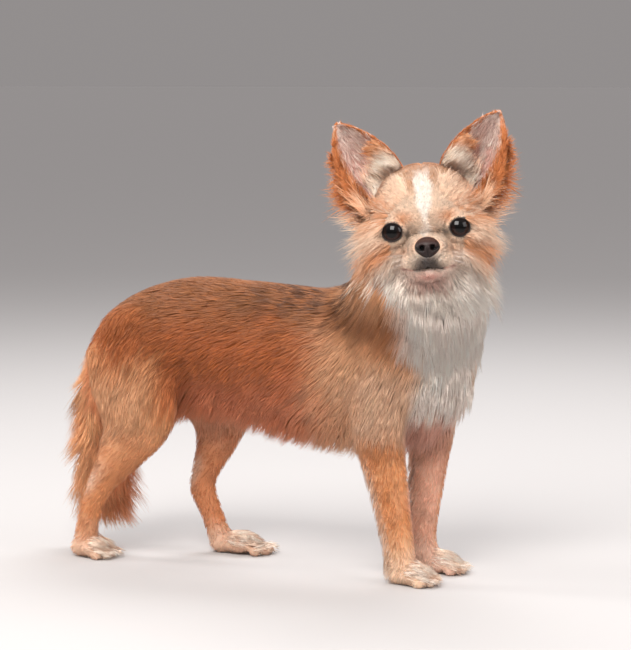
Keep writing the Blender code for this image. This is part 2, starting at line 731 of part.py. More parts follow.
class Coat:
    """Collects the locks of each node, and joins them to it."""

    def __init__(self, nodes, collection):
        self.surfaces = {name: surface_of(node) for name, node in nodes.items()}
        self.collection = collection
        self.locks = {name: [] for name in nodes}
        self.draw = random.Random(SEED)

    def grow(self, node, root, along, style_name, longer=1.0, face=None):
        style = STYLES[style_name]
        style = style._replace(length=style.length * longer * self.draw.uniform(0.88, 1.12))
        size = self.draw.uniform(0.88, 1.12)
        lean = Vector(along) + Vector([self.draw.uniform(-0.10, 0.10) for _ in range(3)])
        curl = self.draw.uniform(-0.5, 0.5)
        lowest = self.draw.uniform(*LOWEST_LOCK)
        stations = lay_lock(self.surfaces[node], Vector(root), lean.normalized(), style, curl, lowest, face)
        self.locks[node].append((stations, style, size))

    def solids(self, name, swell=0.0):
        return [lock_object(*lock, self.collection, swell) for lock in self.locks[name]]


def from_side(surface, x, z, side):
    """Where a level line at x and z, coming in from that side, meets the surface."""
    return surface.ray_cast(Vector((x, side * 0.3, z)), Vector((0, -side, 0)))[0]


def from_round(surface, centre, turn, z):
    """Where a level line towards the centre meets the surface. Turn 0 is the front, 90 the left."""
    outward = Vector((math.cos(turn), math.sin(turn), 0.0))
    start = Vector((centre[0], centre[1], z)) + outward * 0.3
    return surface.ray_cast(start, -outward)[0]


def comb_trunk(side, x, z):
    """The lie of the flat coat: back along the spine, and more and more down towards the belly."""
    down = min(1.0, max(0.0, (0.200 - z) / 0.07))
    return Vector((-1.0, side * 0.1, -0.15 - 0.75 * down))


def grow_torso(coat):
    surface = coat.surfaces["torso"]
    for row, z in enumerate((0.193, 0.173, 0.151, 0.130)):
        for column in range(4):
            x = -0.080 + 0.044 * column + 0.022 * (row % 2)
            for side in (1, -1):
                hit = from_side(surface, x, z, side)
                if hit is not None:
                    coat.grow("torso", hit, comb_trunk(side, x, z), "coat")
    for column in range(7):
        x = -0.044 + 0.0190 * column
        for side in (1, -1):
            hit = from_side(surface, x + 0.004 * side, 0.116, side)
            if hit is not None:
                coat.grow("torso", hit, (-0.40, -side * 0.45, -1.0), "fringe")
    for z, turns in ((0.154, 6), (0.138, 4)):
        for step in range(turns):
            turn = math.radians(-62 + 124 * step / (turns - 1))
            hit = from_round(surface, (0.100, 0.0), turn, z)
            if hit is not None:
                coat.grow("torso", hit, (-0.10, 0.25 * math.sin(turn), -1.0), "bib")


def grow_neck(coat):
    surface = coat.surfaces["neck"]
    for z, turns, offset in ((0.218, 8, 0.0), (0.199, 8, 0.5)):
        for step in range(turns):
            turn = 2 * math.pi * (step + offset) / turns
            hit = from_round(surface, (0.120, -0.006), turn, z)
            if hit is None:
                continue
            behind = math.cos(turn) < -0.35
            along = (-0.9, 0.2 * math.sin(turn), -0.8) if behind else (-0.25, 0.30 * math.sin(turn), -1.0)
            coat.grow("neck", hit, along, "nape" if behind else "ruff")


def grow_head(coat):
    """Cheek hair: from below the ear round the back of the jaw, combed out, back and down."""
    place = head_matrix()
    turn_only = place.to_3x3()
    for side in (1, -1):
        for x, z, longer in ((0.006, -0.016, 0.70), (0.001, -0.004, 0.95), (-0.003, -0.017, 0.85)):
            start = place @ Vector((x, side * 0.08, z))
            hit = coat.surfaces["head"].ray_cast(start, turn_only @ Vector((0, -side, 0)))[0]
            coat.grow("head", hit, turn_only @ Vector((0.05, side * 0.80, -0.60)), "cheek", longer)


def grow_ears(coat):
    """A fringe that falls outward from the outer edge, longest below, and tufts at the inner base."""
    turn_only = head_matrix().to_3x3()
    for side, name in ((1, "ear_left"), (-1, "ear_right")):
        face = (turn_only @ Vector((0.93, 0.37 * side, 0.0))).normalized()
        for step in range(7):
            t = 0.10 + 0.115 * step
            root = ear_point(side, 0.93, t) - face * EAR_WALL * 0.25
            along = turn_only @ Vector((-0.25, side * (0.62 + 0.25 * t), -0.78 + 0.50 * t))
            coat.grow(name, root, along, "ear_fringe", 1.45 - 1.05 * t, face)
        for step in range(3):
            root = ear_point(side, -0.80, 0.12 + 0.13 * step)
            along = turn_only @ Vector((0.10, side * (-0.35 + 0.25 * step), 0.90))
            coat.grow(name, root, along, "ear_base", 1.0, face)


def grow_tail(coat):
    """The plume: rows of locks down the tail, splayed fore and aft and lying close at the sides."""
    path = smooth_path(TAIL, 4)
    rows = 6
    for row in range(rows):
        share = 0.22 + 0.62 * row / (rows - 1)
        index = round(share * (len(path) - 1))
        x, y, z, wide, high = path[index]
        below = path[min(index + 1, len(path) - 1)]
        down = (Vector(below[:3]) - Vector((x, y, z))).normalized()
        for turn, splay in ((0, 0.58), (72, 0.25), (180, 0.52), (-72, 0.25)):
            angle = math.radians(turn + 24 * (row % 2) - 12)
            outward = Vector((math.cos(angle) * high, math.sin(angle) * wide, 0.0))
            root = Vector((x, y, z)) + outward
            along = down + outward.normalized() * splay
            coat.grow("tail", root, along, "plume", 0.62 + 0.30 * share)


def back_of(stations, share):
    """The point down the back edge of a leg at that share of the way along its stations."""
    index = int(share)
    low, high = stations[index], stations[index + 1]
    x, y, z, _, deep = [a + (b - a) * (share - index) for a, b in zip(low, high)]
    return Vector((x - deep, y, z))


def grow_legs(coat):
    """Breeches down the back of the thighs and feathers down the back of the forelegs."""
    for word, fore, hind in (("left", LEFT_FORELEG, LEFT_HINDLEG), ("right", RIGHT_FORELEG, RIGHT_HINDLEG)):
        for row in range(4):
            root = back_of(hind, 1.5 + 2.1 * row / 3)
            for step in (-1, 1):
                spot = root + Vector((0.003, 0.006 * step, 0.0))
                coat.grow("hindleg_" + word, spot, (-0.45, 0.15 * step, -0.90), "breeches", 1.0 - 0.10 * row)
        for row in range(5):
            root = back_of(fore, 1.8 + 2.9 * row / 4)
            coat.grow("foreleg_" + word, root, (-0.85, 0.0, -0.70), "feather", 1.1 - 0.10 * row)


def dress(nodes, cutters):
    """Joins the locks to their nodes, each cut clear of the nodes that it lies over or hangs beside.

    The MANIFOLD solver does it, because EXACT leaves edges with three faces where many locks cross."""
    coat = Coat(nodes, cutters)
    for grow in (grow_torso, grow_neck, grow_head, grow_ears, grow_tail, grow_legs):
        grow(coat)
    plain = {name: duplicate(nodes[name], name + "_plain", cutters) for name in coat.locks}
    for name in coat.locks:
        if coat.locks[name]:
            combine(nodes[name], coat.solids(name), "UNION", "MANIFOLD")
        clear = [grown(plain[upper], cutters, LOCK_GAP) for upper, lower in LIES_OVER.items() if name in lower]
        for other in LIES_OVER.get(name, ()):
            clear += [grown(plain[other], cutters, LOCK_GAP)] + coat.solids(other, LOCK_GAP)
        if clear:
            combine(nodes[name], clear, "DIFFERENCE", "MANIFOLD")


def part_off(source, name, region, collection):
    """Takes the piece of source inside the region box as a new node, and leaves the gap between them."""
    low, high, place = region
    margin = Vector((GAP,) * 3)
    piece = duplicate(source, name, collection)
    combine(piece, [cutter_box("region", low, high, collection, place)], "INTERSECT")
    grown_box = cutter_box("region_grown", Vector(low) - margin, Vector(high) + margin, collection, place)
    combine(source, [grown_box], "DIFFERENCE")
    return piece


def leg_regions():
    """The box of each leg, in the order in which the legs are parted from the trunk."""
    slope = Matrix.Translation(THIGH_PLANE_POINT) @ Matrix.Rotation(THIGH_PLANE_SLOPE, 4, "Y")
    level = Matrix.Identity(4)
    reach = 0.3
    return {
        "foreleg_right": ((ELBOW_BACK, -0.09, -0.05), (reach, -ARMPIT - 0.002, ELBOW_HEIGHT), level),
        "foreleg_left": ((ELBOW_BACK, ARMPIT - 0.004, -0.05), (reach, 0.09, ELBOW_HEIGHT), level),
        "hindleg_right": ((-reach, -0.09, -reach), (reach, -GROIN, 0.0), slope),
        "hindleg_left": ((-reach, GROIN, -reach), (reach, 0.09, 0.0), slope),
    }


def paw_region(name):
    height = FOREPAW_HEIGHT if name.startswith("fore") else HINDPAW_HEIGHT
    return ((-0.3, -0.2, -0.05), (0.3, 0.2, height), Matrix.Identity(4))


def paint(nodes):
    """Gives each node its material and shades it smooth."""
    for name, node in nodes.items():
        node.data.materials.clear()
        node.data.materials.append(make_material(NODE_COATS.get(name, "tan_coat")))
        node.data.shade_smooth()
        node.data.set_sharp_from_angle(angle=math.radians(50))


def centre_on_floor(nodes):
    """Moves the whole dog so that the origin is on the floor under the middle of its box."""
    corners = [v.co for node in nodes.values() for v in node.data.vertices]
    low = [min(c[axis] for c in corners) for axis in range(3)]
    high = [max(c[axis] for c in corners) for axis in range(3)]
    shift = Vector((-(low[0] + high[0]) / 2, -(low[1] + high[1]) / 2, -low[2]))
    for node in nodes.values():
        node.data.transform(Matrix.Translation(shift))


def build():
    clear_scene()
    dog = new_collection("chihuahua")
    cutters = new_collection("cutters")

    bm = bmesh.new()
    add_body(bm)
    torso = fuse(bm, "torso", dog, BODY_VOXEL, 6)
    head_point, head_normal = HEAD_PLANE
    head_normal = head_normal.normalized()
    keep_side(torso, head_point - head_normal * GAP / 2, -head_normal)
    thin_out(torso, BODY_TRIANGLES)
    keep_side(torso, Vector((0, 0, SOLE_SINK)), Vector((0, 0, 1)))

    bm = bmesh.new()
    add_head(bm)
    add_loft(bm, NECK, sides=24)
    head = fuse(bm, "head", dog, HEAD_VOXEL, 5)
    keep_side(head, head_point + head_normal * GAP / 2, head_normal)
    thin_out(head, HEAD_TRIANGLES)

    nodes = {"torso": torso, "head": head}
    neck_point, neck_normal = NECK_PLANE
    neck = duplicate(torso, "neck", dog)
    keep_side(neck, neck_point + neck_normal.normalized() * GAP / 2, neck_normal.normalized())
    keep_side(torso, neck_point - neck_normal.normalized() * GAP / 2, -neck_normal.normalized())
    nodes["neck"] = neck

    for name, region in leg_regions().items():
        nodes[name] = part_off(torso, name, region, dog)
    for name, leg in (("forepaw_right", "foreleg_right"), ("forepaw_left", "foreleg_left"),
                      ("hindpaw_right", "hindleg_right"), ("hindpaw_left", "hindleg_left")):
        nodes[name] = part_off(nodes[leg], name, paw_region(name), dog)

    nodes["nose"] = make_nose(dog)
    for side, word in ((1, "left"), (-1, "right")):
        nodes["eye_" + word] = eye_ball(side, EYE_RADIUS, "eye_" + word, dog)
        nodes["ear_" + word] = make_ear(side, "ear_" + word, dog)
    for word in ("left", "right"):
        combine(nodes["ear_" + word], [grown(head, cutters)], "DIFFERENCE")
    combine(head, [eye_opening(side, cutters) for side in (1, -1)], "DIFFERENCE", "MANIFOLD")
    combine(head, [lids(side, cutters) for side in (1, -1)], "UNION", "MANIFOLD")
    cuts = [nose_form("nose_bed", cutters, GAP), mouth_cutter(head, cutters)]
    cuts += [eye_ball(side, EYE_RADIUS + GAP, "socket", cutters) for side in (1, -1)]
    combine(head, cuts, "DIFFERENCE", "MANIFOLD")

    bm = bmesh.new()
    add_loft(bm, TAIL, sides=8, steps=2)
    bmesh.ops.recalc_face_normals(bm, faces=bm.faces[:])
    tail = object_from(bm, "tail", dog)
    nodes["tail"] = tail
    combine(tail, [grown(torso, cutters)], "DIFFERENCE")
    for leg in ("hindleg_right", "hindleg_left"):
        combine(tail, [grown(nodes[leg], cutters)], "DIFFERENCE")
    dress(nodes, cutters)
    paint(nodes)
    centre_on_floor(nodes)
    bpy.data.collections.remove(cutters)
    return nodes


build()
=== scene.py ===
"""Looks of a long-haired chihuahua standing at rest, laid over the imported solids.

Metres, +Z up. Sizes are in the dog's own frame: +X is the way the dog heads, +Y its left, and the floor is
near z 0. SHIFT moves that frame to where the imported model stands. One skin carries the whole coat, which is
made of closed, tapered tufts that follow the lie of the hair.
"""
import math
from collections import namedtuple

import bmesh
import bpy
import numpy as np
from mathutils import Euler, Matrix, Vector
from mathutils.bvhtree import BVHTree
from mathutils.kdtree import KDTree


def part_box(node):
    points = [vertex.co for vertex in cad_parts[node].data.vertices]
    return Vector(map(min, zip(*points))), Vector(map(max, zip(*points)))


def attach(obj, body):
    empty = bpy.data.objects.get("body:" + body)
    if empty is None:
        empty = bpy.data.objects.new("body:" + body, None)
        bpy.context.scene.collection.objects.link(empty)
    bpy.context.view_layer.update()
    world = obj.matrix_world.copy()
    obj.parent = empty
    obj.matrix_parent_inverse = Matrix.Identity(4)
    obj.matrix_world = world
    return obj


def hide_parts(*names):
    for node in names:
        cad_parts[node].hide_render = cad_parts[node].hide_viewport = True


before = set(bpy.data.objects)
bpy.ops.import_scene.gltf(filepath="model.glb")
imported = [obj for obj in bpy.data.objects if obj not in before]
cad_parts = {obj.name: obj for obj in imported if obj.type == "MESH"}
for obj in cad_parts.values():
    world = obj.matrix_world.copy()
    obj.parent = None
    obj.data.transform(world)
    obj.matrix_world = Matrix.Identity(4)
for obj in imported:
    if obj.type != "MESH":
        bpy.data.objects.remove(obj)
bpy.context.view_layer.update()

SEED = 11
BODY_VOXEL = 0.0017
HEAD_VOXEL = 0.0007

DENSITY = 1.0

Section = namedtuple("Section", "x y z wide high")
Station = namedtuple("Station", "x top bottom wide")
Ball = namedtuple("Ball", "centre radii")
Paw = namedtuple("Paw", "x y heading reach")

# How deep the flat coat lies over the skin.
TRUNK_COAT = 0.0036
LEG_COAT = 0.0016
PAW_COAT = 0.0010
HEAD_COAT = 0.0005

# Outside of the flat coat, as in the solids: the trunk's outline, the neck, the limbs and the paws.
TRUNK = (
    Station(-0.132, 0.147, 0.122, 0.012),
    Station(-0.125, 0.162, 0.106, 0.024),
    Station(-0.111, 0.179, 0.098, 0.033),
    Station(-0.086, 0.196, 0.103, 0.037),
    Station(-0.055, 0.206, 0.112, 0.036),
    Station(-0.020, 0.205, 0.110, 0.035),
    Station(0.015, 0.203, 0.103, 0.037),
    Station(0.050, 0.201, 0.097, 0.040),
    Station(0.080, 0.202, 0.095, 0.041),
    Station(0.110, 0.198, 0.099, 0.038),
    Station(0.136, 0.188, 0.112, 0.031),
    Station(0.151, 0.168, 0.134, 0.014),
)
NECK = (
    Section(0.094, 0.000, 0.142, 0.028, 0.034),
    Section(0.103, -0.001, 0.166, 0.036, 0.043),
    Section(0.112, -0.002, 0.186, 0.040, 0.046),
    Section(0.119, -0.004, 0.206, 0.040, 0.044),
    Section(0.121, -0.008, 0.227, 0.037, 0.039),
    Section(0.120, -0.012, 0.246, 0.030, 0.030),
)
FORELEG_RIGHT = (
    Section(0.108, -0.024, 0.160, 0.017, 0.028),
    Section(0.100, -0.028, 0.128, 0.015, 0.023),
    Section(0.098, -0.029, 0.104, 0.0135, 0.0175),
    Section(0.104, -0.028, 0.076, 0.0120, 0.0145),
    Section(0.109, -0.0275, 0.050, 0.0108, 0.0122),
    Section(0.1125, -0.027, 0.028, 0.0106, 0.0108),
    Section(0.1145, -0.027, 0.010, 0.0112, 0.0110),
)
FORELEG_LEFT = (
    Section(0.112, 0.024, 0.160, 0.017, 0.028),
    Section(0.114, 0.025, 0.128, 0.015, 0.022),
    Section(0.116, 0.024, 0.104, 0.0135, 0.0160),
    Section(0.115, 0.022, 0.076, 0.0118, 0.0135),
    Section(0.1125, 0.0205, 0.050, 0.0105, 0.0118),
    Section(0.1105, 0.020, 0.028, 0.0104, 0.0106),
    Section(0.1125, 0.020, 0.010, 0.0110, 0.0110),
)
HINDLEG_RIGHT = (
    Section(-0.096, -0.022, 0.160, 0.018, 0.036),
    Section(-0.092, -0.025, 0.130, 0.017, 0.035),
    Section(-0.088, -0.028, 0.104, 0.0150, 0.0270),
    Section(-0.100, -0.029, 0.082, 0.0120, 0.0190),
    Section(-0.114, -0.0285, 0.062, 0.0098, 0.0130),
    Section(-0.124, -0.028, 0.045, 0.0086, 0.0100),
    Section(-0.131, -0.027, 0.025, 0.0086, 0.0094),
    Section(-0.134, -0.026, 0.009, 0.0095, 0.0098),
)
HINDLEG_LEFT = (
    Section(-0.080, 0.022, 0.160, 0.018, 0.036),
    Section(-0.062, 0.026, 0.130, 0.017, 0.033),
    Section(-0.052, 0.029, 0.104, 0.0150, 0.0240),
    Section(-0.055, 0.030, 0.082, 0.0120, 0.0165),
    Section(-0.063, 0.030, 0.062, 0.0098, 0.0115),
    Section(-0.066, 0.0295, 0.047, 0.0088, 0.0108),
    Section(-0.058, 0.029, 0.028, 0.0084, 0.0090),
    Section(-0.051, 0.029, 0.009, 0.0095, 0.0098),
)
# The tail's bone and flesh, inside its plume.
TAIL = (
    Section(-0.102, 0.002, 0.166, 0.007, 0.008),
    Section(-0.124, 0.003, 0.154, 0.008, 0.009),
    Section(-0.136, 0.005, 0.130, 0.0062, 0.0072),
    Section(-0.137, 0.007, 0.100, 0.0052, 0.0060),
    Section(-0.137, 0.009, 0.070, 0.0042, 0.0048),
    Section(-0.137, 0.010, 0.046, 0.0030, 0.0034),
)
MASSES = (
    Ball((0.104, -0.026, 0.150), (0.029, 0.017, 0.042)),
    Ball((0.106, 0.026, 0.150), (0.029, 0.017, 0.042)),
    Ball((-0.094, -0.022, 0.148), (0.036, 0.019, 0.040)),
    Ball((-0.086, 0.022, 0.148), (0.036, 0.019, 0.040)),
    Ball((0.130, 0.000, 0.160), (0.027, 0.029, 0.038)),
)
PAWS = {
    "forepaw_right": Paw(0.1135, -0.027, -4, 0.0270),
    "forepaw_left": Paw(0.1130, 0.020, 4, 0.0300),
    "hindpaw_right": Paw(-0.1350, -0.026, -3, 0.0250),
    "hindpaw_left": Paw(-0.0500, 0.029, 5, 0.0390),
}
TOE_SPREAD = 0.0066
TOE_RADIUS = 0.0046
TOE_HEIGHT = 0.0062
INSTEP_RADIUS = 0.0105
PAW_SPAN = 0.060        # a square of this side holds any paw

# Head: origin midway between the eyes, x to the nose, y to the dog's left, z up.
HEAD_PLACE = Vector((0.1300, -0.0250, 0.2450))
HEAD_TURN = Euler((math.radians(4.5), math.radians(2.0), math.radians(-68.0)))
EYE_PLACE = (0.0222, 0.0215, 0.0)
EYE_RADIUS = 0.0092
EYE_RAISE = 0.0012      # how far the eyeballs stand above the middles of the solids
EYE_TURN = math.radians(9)
EYE_LIFT = math.radians(6)
ORBIT = Ball((-0.0020, 0.0, 0.0), (0.0106, 0.0112, 0.0108))
LID_WIDE = math.radians(44)
LID_HIGH = math.radians(38.5)
LID_REACH = math.radians(30)
LID_SKIN = (0.0003, 0.0010)     # thickness of the skin on the eyeball, at the lids' edge and at their reach
SOCKET_DEPTH = 0.0014   # how far the skin sinks below the eyeball's surface inside the lids
NOSE_PLACE = Vector((0.0405, 0.0, -0.0091))
NOSE_RADII = (0.0068, 0.0085, 0.0075)
MOUTH_MIDDLE = (0.0200, 0.0, -0.0226)
MOUTH_TURN = math.radians(80)
MOUTH_DROP = 0.0006
MOUTH_DEPTH = 0.0012
GROOVE_DEPTH = 0.0008
FOLD_DEPTH = 0.0006
NOSE_SEAT = 0.0050      # how far the skin sinks behind the nose leather
HEAD_MIDDLE = (
    Ball((-0.0050, 0.0, 0.0145), (0.0350, 0.0342, 0.0295)),
    Ball((0.0090, 0.0, 0.0160), (0.0245, 0.0280, 0.0230)),
    Ball((-0.0180, 0.0, 0.0010), (0.0250, 0.0300, 0.0280)),
    Ball((0.0210, 0.0, -0.0110), (0.0190, 0.0172, 0.0112)),
    Ball((0.0335, 0.0, -0.0122), (0.0122, 0.0142, 0.0102)),
    Ball((0.0080, 0.0, -0.0195), (0.0270, 0.0225, 0.0120)),
    Ball((0.0240, 0.0, -0.0258), (0.0125, 0.0108, 0.0066)),
    Ball((0.0130, 0.0, -0.0245), (0.0190, 0.0170, 0.0080)),
)
HEAD_SIDES = (
    Ball((0.0010, 0.0205, -0.0080), (0.0255, 0.0170, 0.0190)),
    Ball((0.0160, 0.0165, 0.0110), (0.0115, 0.0125, 0.0065)),
    Ball((0.0330, 0.0085, -0.0177), (0.0118, 0.0092, 0.0078)),
    Ball((0.0150, 0.0160, -0.0130), (0.0130, 0.0118, 0.0105)),
    Ball((0.0100, 0.0195, -0.0005), (0.0192, 0.0172, 0.0160)),
)
HEAD_PLANE = (np.array((0.1150, -0.0080, 0.2230)), np.array((0.38, -0.30, 0.88)))

EAR_INNER = ((0.010, 0.036), (0.0160, 0.0500), (0.0285, 0.0632), (0.0420, 0.0716), (0.0520, 0.0750))
EAR_OUTER = ((0.032, 0.004), (0.0470, 0.0210), (0.0555, 0.0400), (0.0585, 0.0590), (0.0560, 0.0735))
EAR_CUP = ((0.0190,), (0.0190,), (0.0145,), (0.0075,), (0.0015,))
EAR_SET_BACK = ((-0.004,), (-0.003,), (0.000,), (0.002,), (0.002,))
EAR_WALL = 0.0022
EAR_ROWS = 30
EAR_COLUMNS = 16

# The photograph's view: the camera stands off the middle of the body, to the right of square on.
VIEW_TURN = math.radians(24)
VIEW_TILT = math.radians(5.61)
CAMERA_PLACE = Vector((0.76488, -1.62980, 0.349))
FOCAL_PIXELS = 2560
PHOTO_SLIDE = 2.5       # pixels that the picture is moved to the right
PHOTO_LONG_SIDE = 650
SENSOR = 36.0


def srgb(*levels):
    """Linear colour from screen levels of 0 to 255."""
    share = np.array(levels) / 255
    return np.where(share <= 0.04045, share / 12.92, ((share + 0.055) / 1.055) ** 2.4)


GOLD = srgb(240, 170, 116)
FLANK = srgb(192, 108, 56)
BACK = srgb(168, 108, 66)
STREAK = srgb(92, 56, 34)
RUST = srgb(236, 148, 106)
PALE = srgb(242, 190, 148)
CREAM = srgb(246, 222, 200)
WHITE = srgb(255, 245, 235)
ORANGE = srgb(216, 138, 82)
EAR_BROWN = srgb(180, 104, 56)
BLUSH = srgb(238, 182, 162)
SKIN_PINK = srgb(214, 160, 148)
SKIN_GREY = srgb(196, 166, 156)
SMOKE = srgb(50, 42, 43)
LIP = srgb(206, 132, 118)
LIP_CORNER = srgb(130, 74, 62)
EAR_FLUFF = srgb(226, 194, 182)
# Painted shade for the deepest part of the ear's cup.
EAR_HOLLOW_SHADE = srgb(150, 96, 86)
DARK = srgb(30, 20, 17)
SKIN_SHADE = 0.75       # the skin's brightness over its coat's


def ramp(value, low, high):
    """Smooth step from 0 at low to 1 at high, either way round."""
    share = np.clip((value - low) / (high - low), 0, 1)
    return share * share * (3 - 2 * share)


def bump(value, middle, half):
    """1 in the middle, fading to nearly 0 at about one and a half times the half width."""
    return np.exp(-((value - middle) / half) ** 2)


def mix(first, second, share):
    share = np.asarray(share)[..., None]
    return first * (1 - share) + second * share


def unit(vectors):
    return vectors / np.maximum(np.linalg.norm(vectors, axis=-1, keepdims=True), 1e-12)


def dot(first, second):
    return (first * second).sum(-1)


def ripple(points, size, seed, waves=7):
    """Smooth noise of three parts between about -1 and 1, with bumps of that size."""
    draw = np.random.default_rng(seed)
    total = np.zeros(points.shape[:-1] + (3,))
    for _ in range(waves):
        wave = unit(draw.normal(size=3)) * 2 * math.pi / (size * draw.uniform(0.7, 1.5))
        phase = draw.uniform(0, 2 * math.pi, 3)
        total += np.sin((points @ wave)[..., None] + phase)
    return total / math.sqrt(waves)


def smooth_path(stations, steps):
    """Catmull-Rom rows between the stations, each row the numbers of one station."""
    rows = np.array([stations[0], *stations, stations[-1]], float)
    made = []
    for a, b, c, d in zip(rows, rows[1:], rows[2:], rows[3:]):
        for step in range(steps):
            t = step / steps
            made.append(0.5 * (2 * b + (c - a) * t + (2 * a - 5 * b + 4 * c - d) * t * t
                               + (3 * b - a - 3 * c + d) * t ** 3))
    made.append(rows[-1])
    return np.array(made)


def read_path(stations, share):
    """Rows of the smooth path at shares of 0 to 1 along it."""
    rows = smooth_path(stations, 8)
    index = np.clip(share, 0, 1) * (len(rows) - 1)
    low = np.minimum(index.astype(int), len(rows) - 2)
    part = (index - low)[..., None]
    return rows[low] * (1 - part) + rows[low + 1] * part


def head_matrix():
    return Matrix.Translation(HEAD_PLACE) @ HEAD_TURN.to_matrix().to_4x4()


def eye_matrix(side):
    """The eye's place: x looks out of the pupil. Side is 1 on the dog's left."""
    x, y, z = EYE_PLACE
    turn = Matrix.Rotation(EYE_TURN * side, 4, "Z") @ Matrix.Rotation(-EYE_LIFT, 4, "Y")
    return head_matrix() @ Matrix.Translation((x, y * side, z + EYE_RAISE)) @ turn


def transformed(matrix, points):
    matrix = np.array(matrix)
    return points @ matrix[:3, :3].T + matrix[:3, 3]


def in_head(points):
    return transformed(head_matrix().inverted(), points)


def head_way(vectors):
    """Directions given in the head's frame, in the dog's."""
    return np.asarray(vectors, float) @ np.array(head_matrix())[:3, :3].T


def shift_to_frame():
    """From the dog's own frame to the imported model's, by the middle of the eyes."""
    middles = [sum(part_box("eye_" + word), Vector()) / 2 for word in ("left", "right")]
    x, _, z = EYE_PLACE
    return sum(middles, Vector()) / 2 - head_matrix() @ Vector((x, 0, z))


SHIFT = shift_to_frame()


def object_from(bm, name):
    mesh = bpy.data.meshes.new(name)
    bm.normal_update()
    bm.to_mesh(mesh)
    bm.free()
    obj = bpy.data.objects.new(name, mesh)
    bpy.context.scene.collection.objects.link(obj)
    return obj


def mesh_from_arrays(name, points, faces):
    """An object from arrays of points and of triangles or quads."""
    mesh = bpy.data.meshes.new(name)
    sides = faces.shape[1]
    mesh.vertices.add(len(points))
    mesh.vertices.foreach_set("co", points.astype(np.float32).ravel())
    mesh.loops.add(faces.size)
    mesh.loops.foreach_set("vertex_index", faces.astype(np.int32).ravel())
    mesh.polygons.add(len(faces))
    mesh.polygons.foreach_set("loop_start", np.arange(0, faces.size, sides, dtype=np.int32))
    mesh.update(calc_edges=True)
    obj = bpy.data.objects.new(name, mesh)
    bpy.context.scene.collection.objects.link(obj)
    return obj


def points_of(obj):
    points = np.empty(len(obj.data.vertices) * 3, np.float32)
    obj.data.vertices.foreach_get("co", points)
    return points.reshape(-1, 3).astype(float)


def normals_of(obj):
    normals = np.empty(len(obj.data.vertices) * 3, np.float32)
    obj.data.vertices.foreach_get("normal", normals)
    return normals.reshape(-1, 3).astype(float)


def move_points(obj, points):
    obj.data.vertices.foreach_set("co", points.astype(np.float32).ravel())
    obj.data.update()


def set_tint(obj, colours):
    """Stores a linear colour for each vertex, which the materials read."""
    layer = obj.data.color_attributes.new("tint", "FLOAT_COLOR", "POINT")
    rgba = np.ones((len(colours), 4), np.float32)
    rgba[:, :3] = np.clip(colours, 0, 1)
    layer.data.foreach_set("color", rgba.ravel())


def apply_modifiers(obj):
    graph = bpy.context.evaluated_depsgraph_get()
    mesh = bpy.data.meshes.new_from_object(obj.evaluated_get(graph))
    obj.modifiers.clear()
    obj.data = mesh


def settle(piece, material, replaced=()):
    """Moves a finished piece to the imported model's place and hands it over to the frame."""
    piece.data.transform(Matrix.Translation(SHIFT))
    piece.data.materials.clear()
    piece.data.materials.append(material)
    piece.data.shade_smooth()
    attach(piece, "root")
    if replaced:
        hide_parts(*replaced)
    return piece


# Skin

def add_loft(bm, sections, inset, sides=24, steps=4):
    """A closed tube of ellipses. Width runs along Y, and height across the path in its own plane."""
    rows = smooth_path(sections, steps)
    rings = []
    for index, (x, y, z, wide, high) in enumerate(rows):
        before, after = rows[max(index - 1, 0)], rows[min(index + 1, len(rows) - 1)]
        along = Vector(after[:3] - before[:3]).normalized()
        across = Vector((0, 1, 0))
        over = along.cross(across).normalized()
        ring = []
        for side in range(sides):
            angle = 2 * math.pi * side / sides
            offset = (across * (max(wide - inset, 0.001) * math.cos(angle))
                      + over * (max(high - inset, 0.001) * math.sin(angle)))
            ring.append(bm.verts.new(Vector((x, y, z)) + offset))
        rings.append(ring)
    bridge(bm, rings)
    bm.faces.new(reversed(rings[0]))
    bm.faces.new(rings[-1])


def bridge(bm, rings):
    for low, up in zip(rings, rings[1:]):
        for side, (a, b) in enumerate(zip(low, up)):
            other = (side + 1) % len(low)
            bm.faces.new((a, low[other], up[other], b))


def add_ball(bm, ball, inset, place=Matrix.Identity(4)):
    radii = [radius - inset for radius in ball.radii]
    matrix = place @ Matrix.Translation(ball.centre) @ Matrix.Diagonal((*radii, 1.0))
    bmesh.ops.create_uvsphere(bm, u_segments=32, v_segments=20, radius=1.0, matrix=matrix)


def fuse(bm, name, voxel, rounds):
    """Joins overlapping closed forms into one skin of even quads and rounds it."""
    bmesh.ops.recalc_face_normals(bm, faces=bm.faces[:])
    obj = object_from(bm, name)
    remesh = obj.modifiers.new("fuse", "REMESH")
    remesh.mode = "VOXEL"
    remesh.voxel_size = voxel
    rounding = obj.modifiers.new("round", "SMOOTH")
    rounding.factor = 0.5
    rounding.iterations = rounds
    apply_modifiers(obj)
    return obj


def trunk_sections():
    return [Section(s.x, 0.0, (s.top + s.bottom) / 2, s.wide, (s.top - s.bottom) / 2) for s in TRUNK]


def paw_matrix(paw):
    return Matrix.Translation((paw.x, paw.y, 0.0)) @ Matrix.Rotation(math.radians(paw.heading), 4, "Z")


def toe_places(paw):
    """Knuckle and tip of each of the four toes, the middle two longest, in the paw's own frame."""
    places = []
    for step in (-1.5, -0.5, 0.5, 1.5):
        reach = paw.reach * (1.0 if abs(step) < 1 else 0.86)
        side = step * TOE_SPREAD
        places.append((Vector((reach * 0.45, side * 0.85, TOE_HEIGHT + 0.0015)),
                       Vector((reach - TOE_RADIUS, side * 1.05, TOE_HEIGHT * 0.72))))
    return places


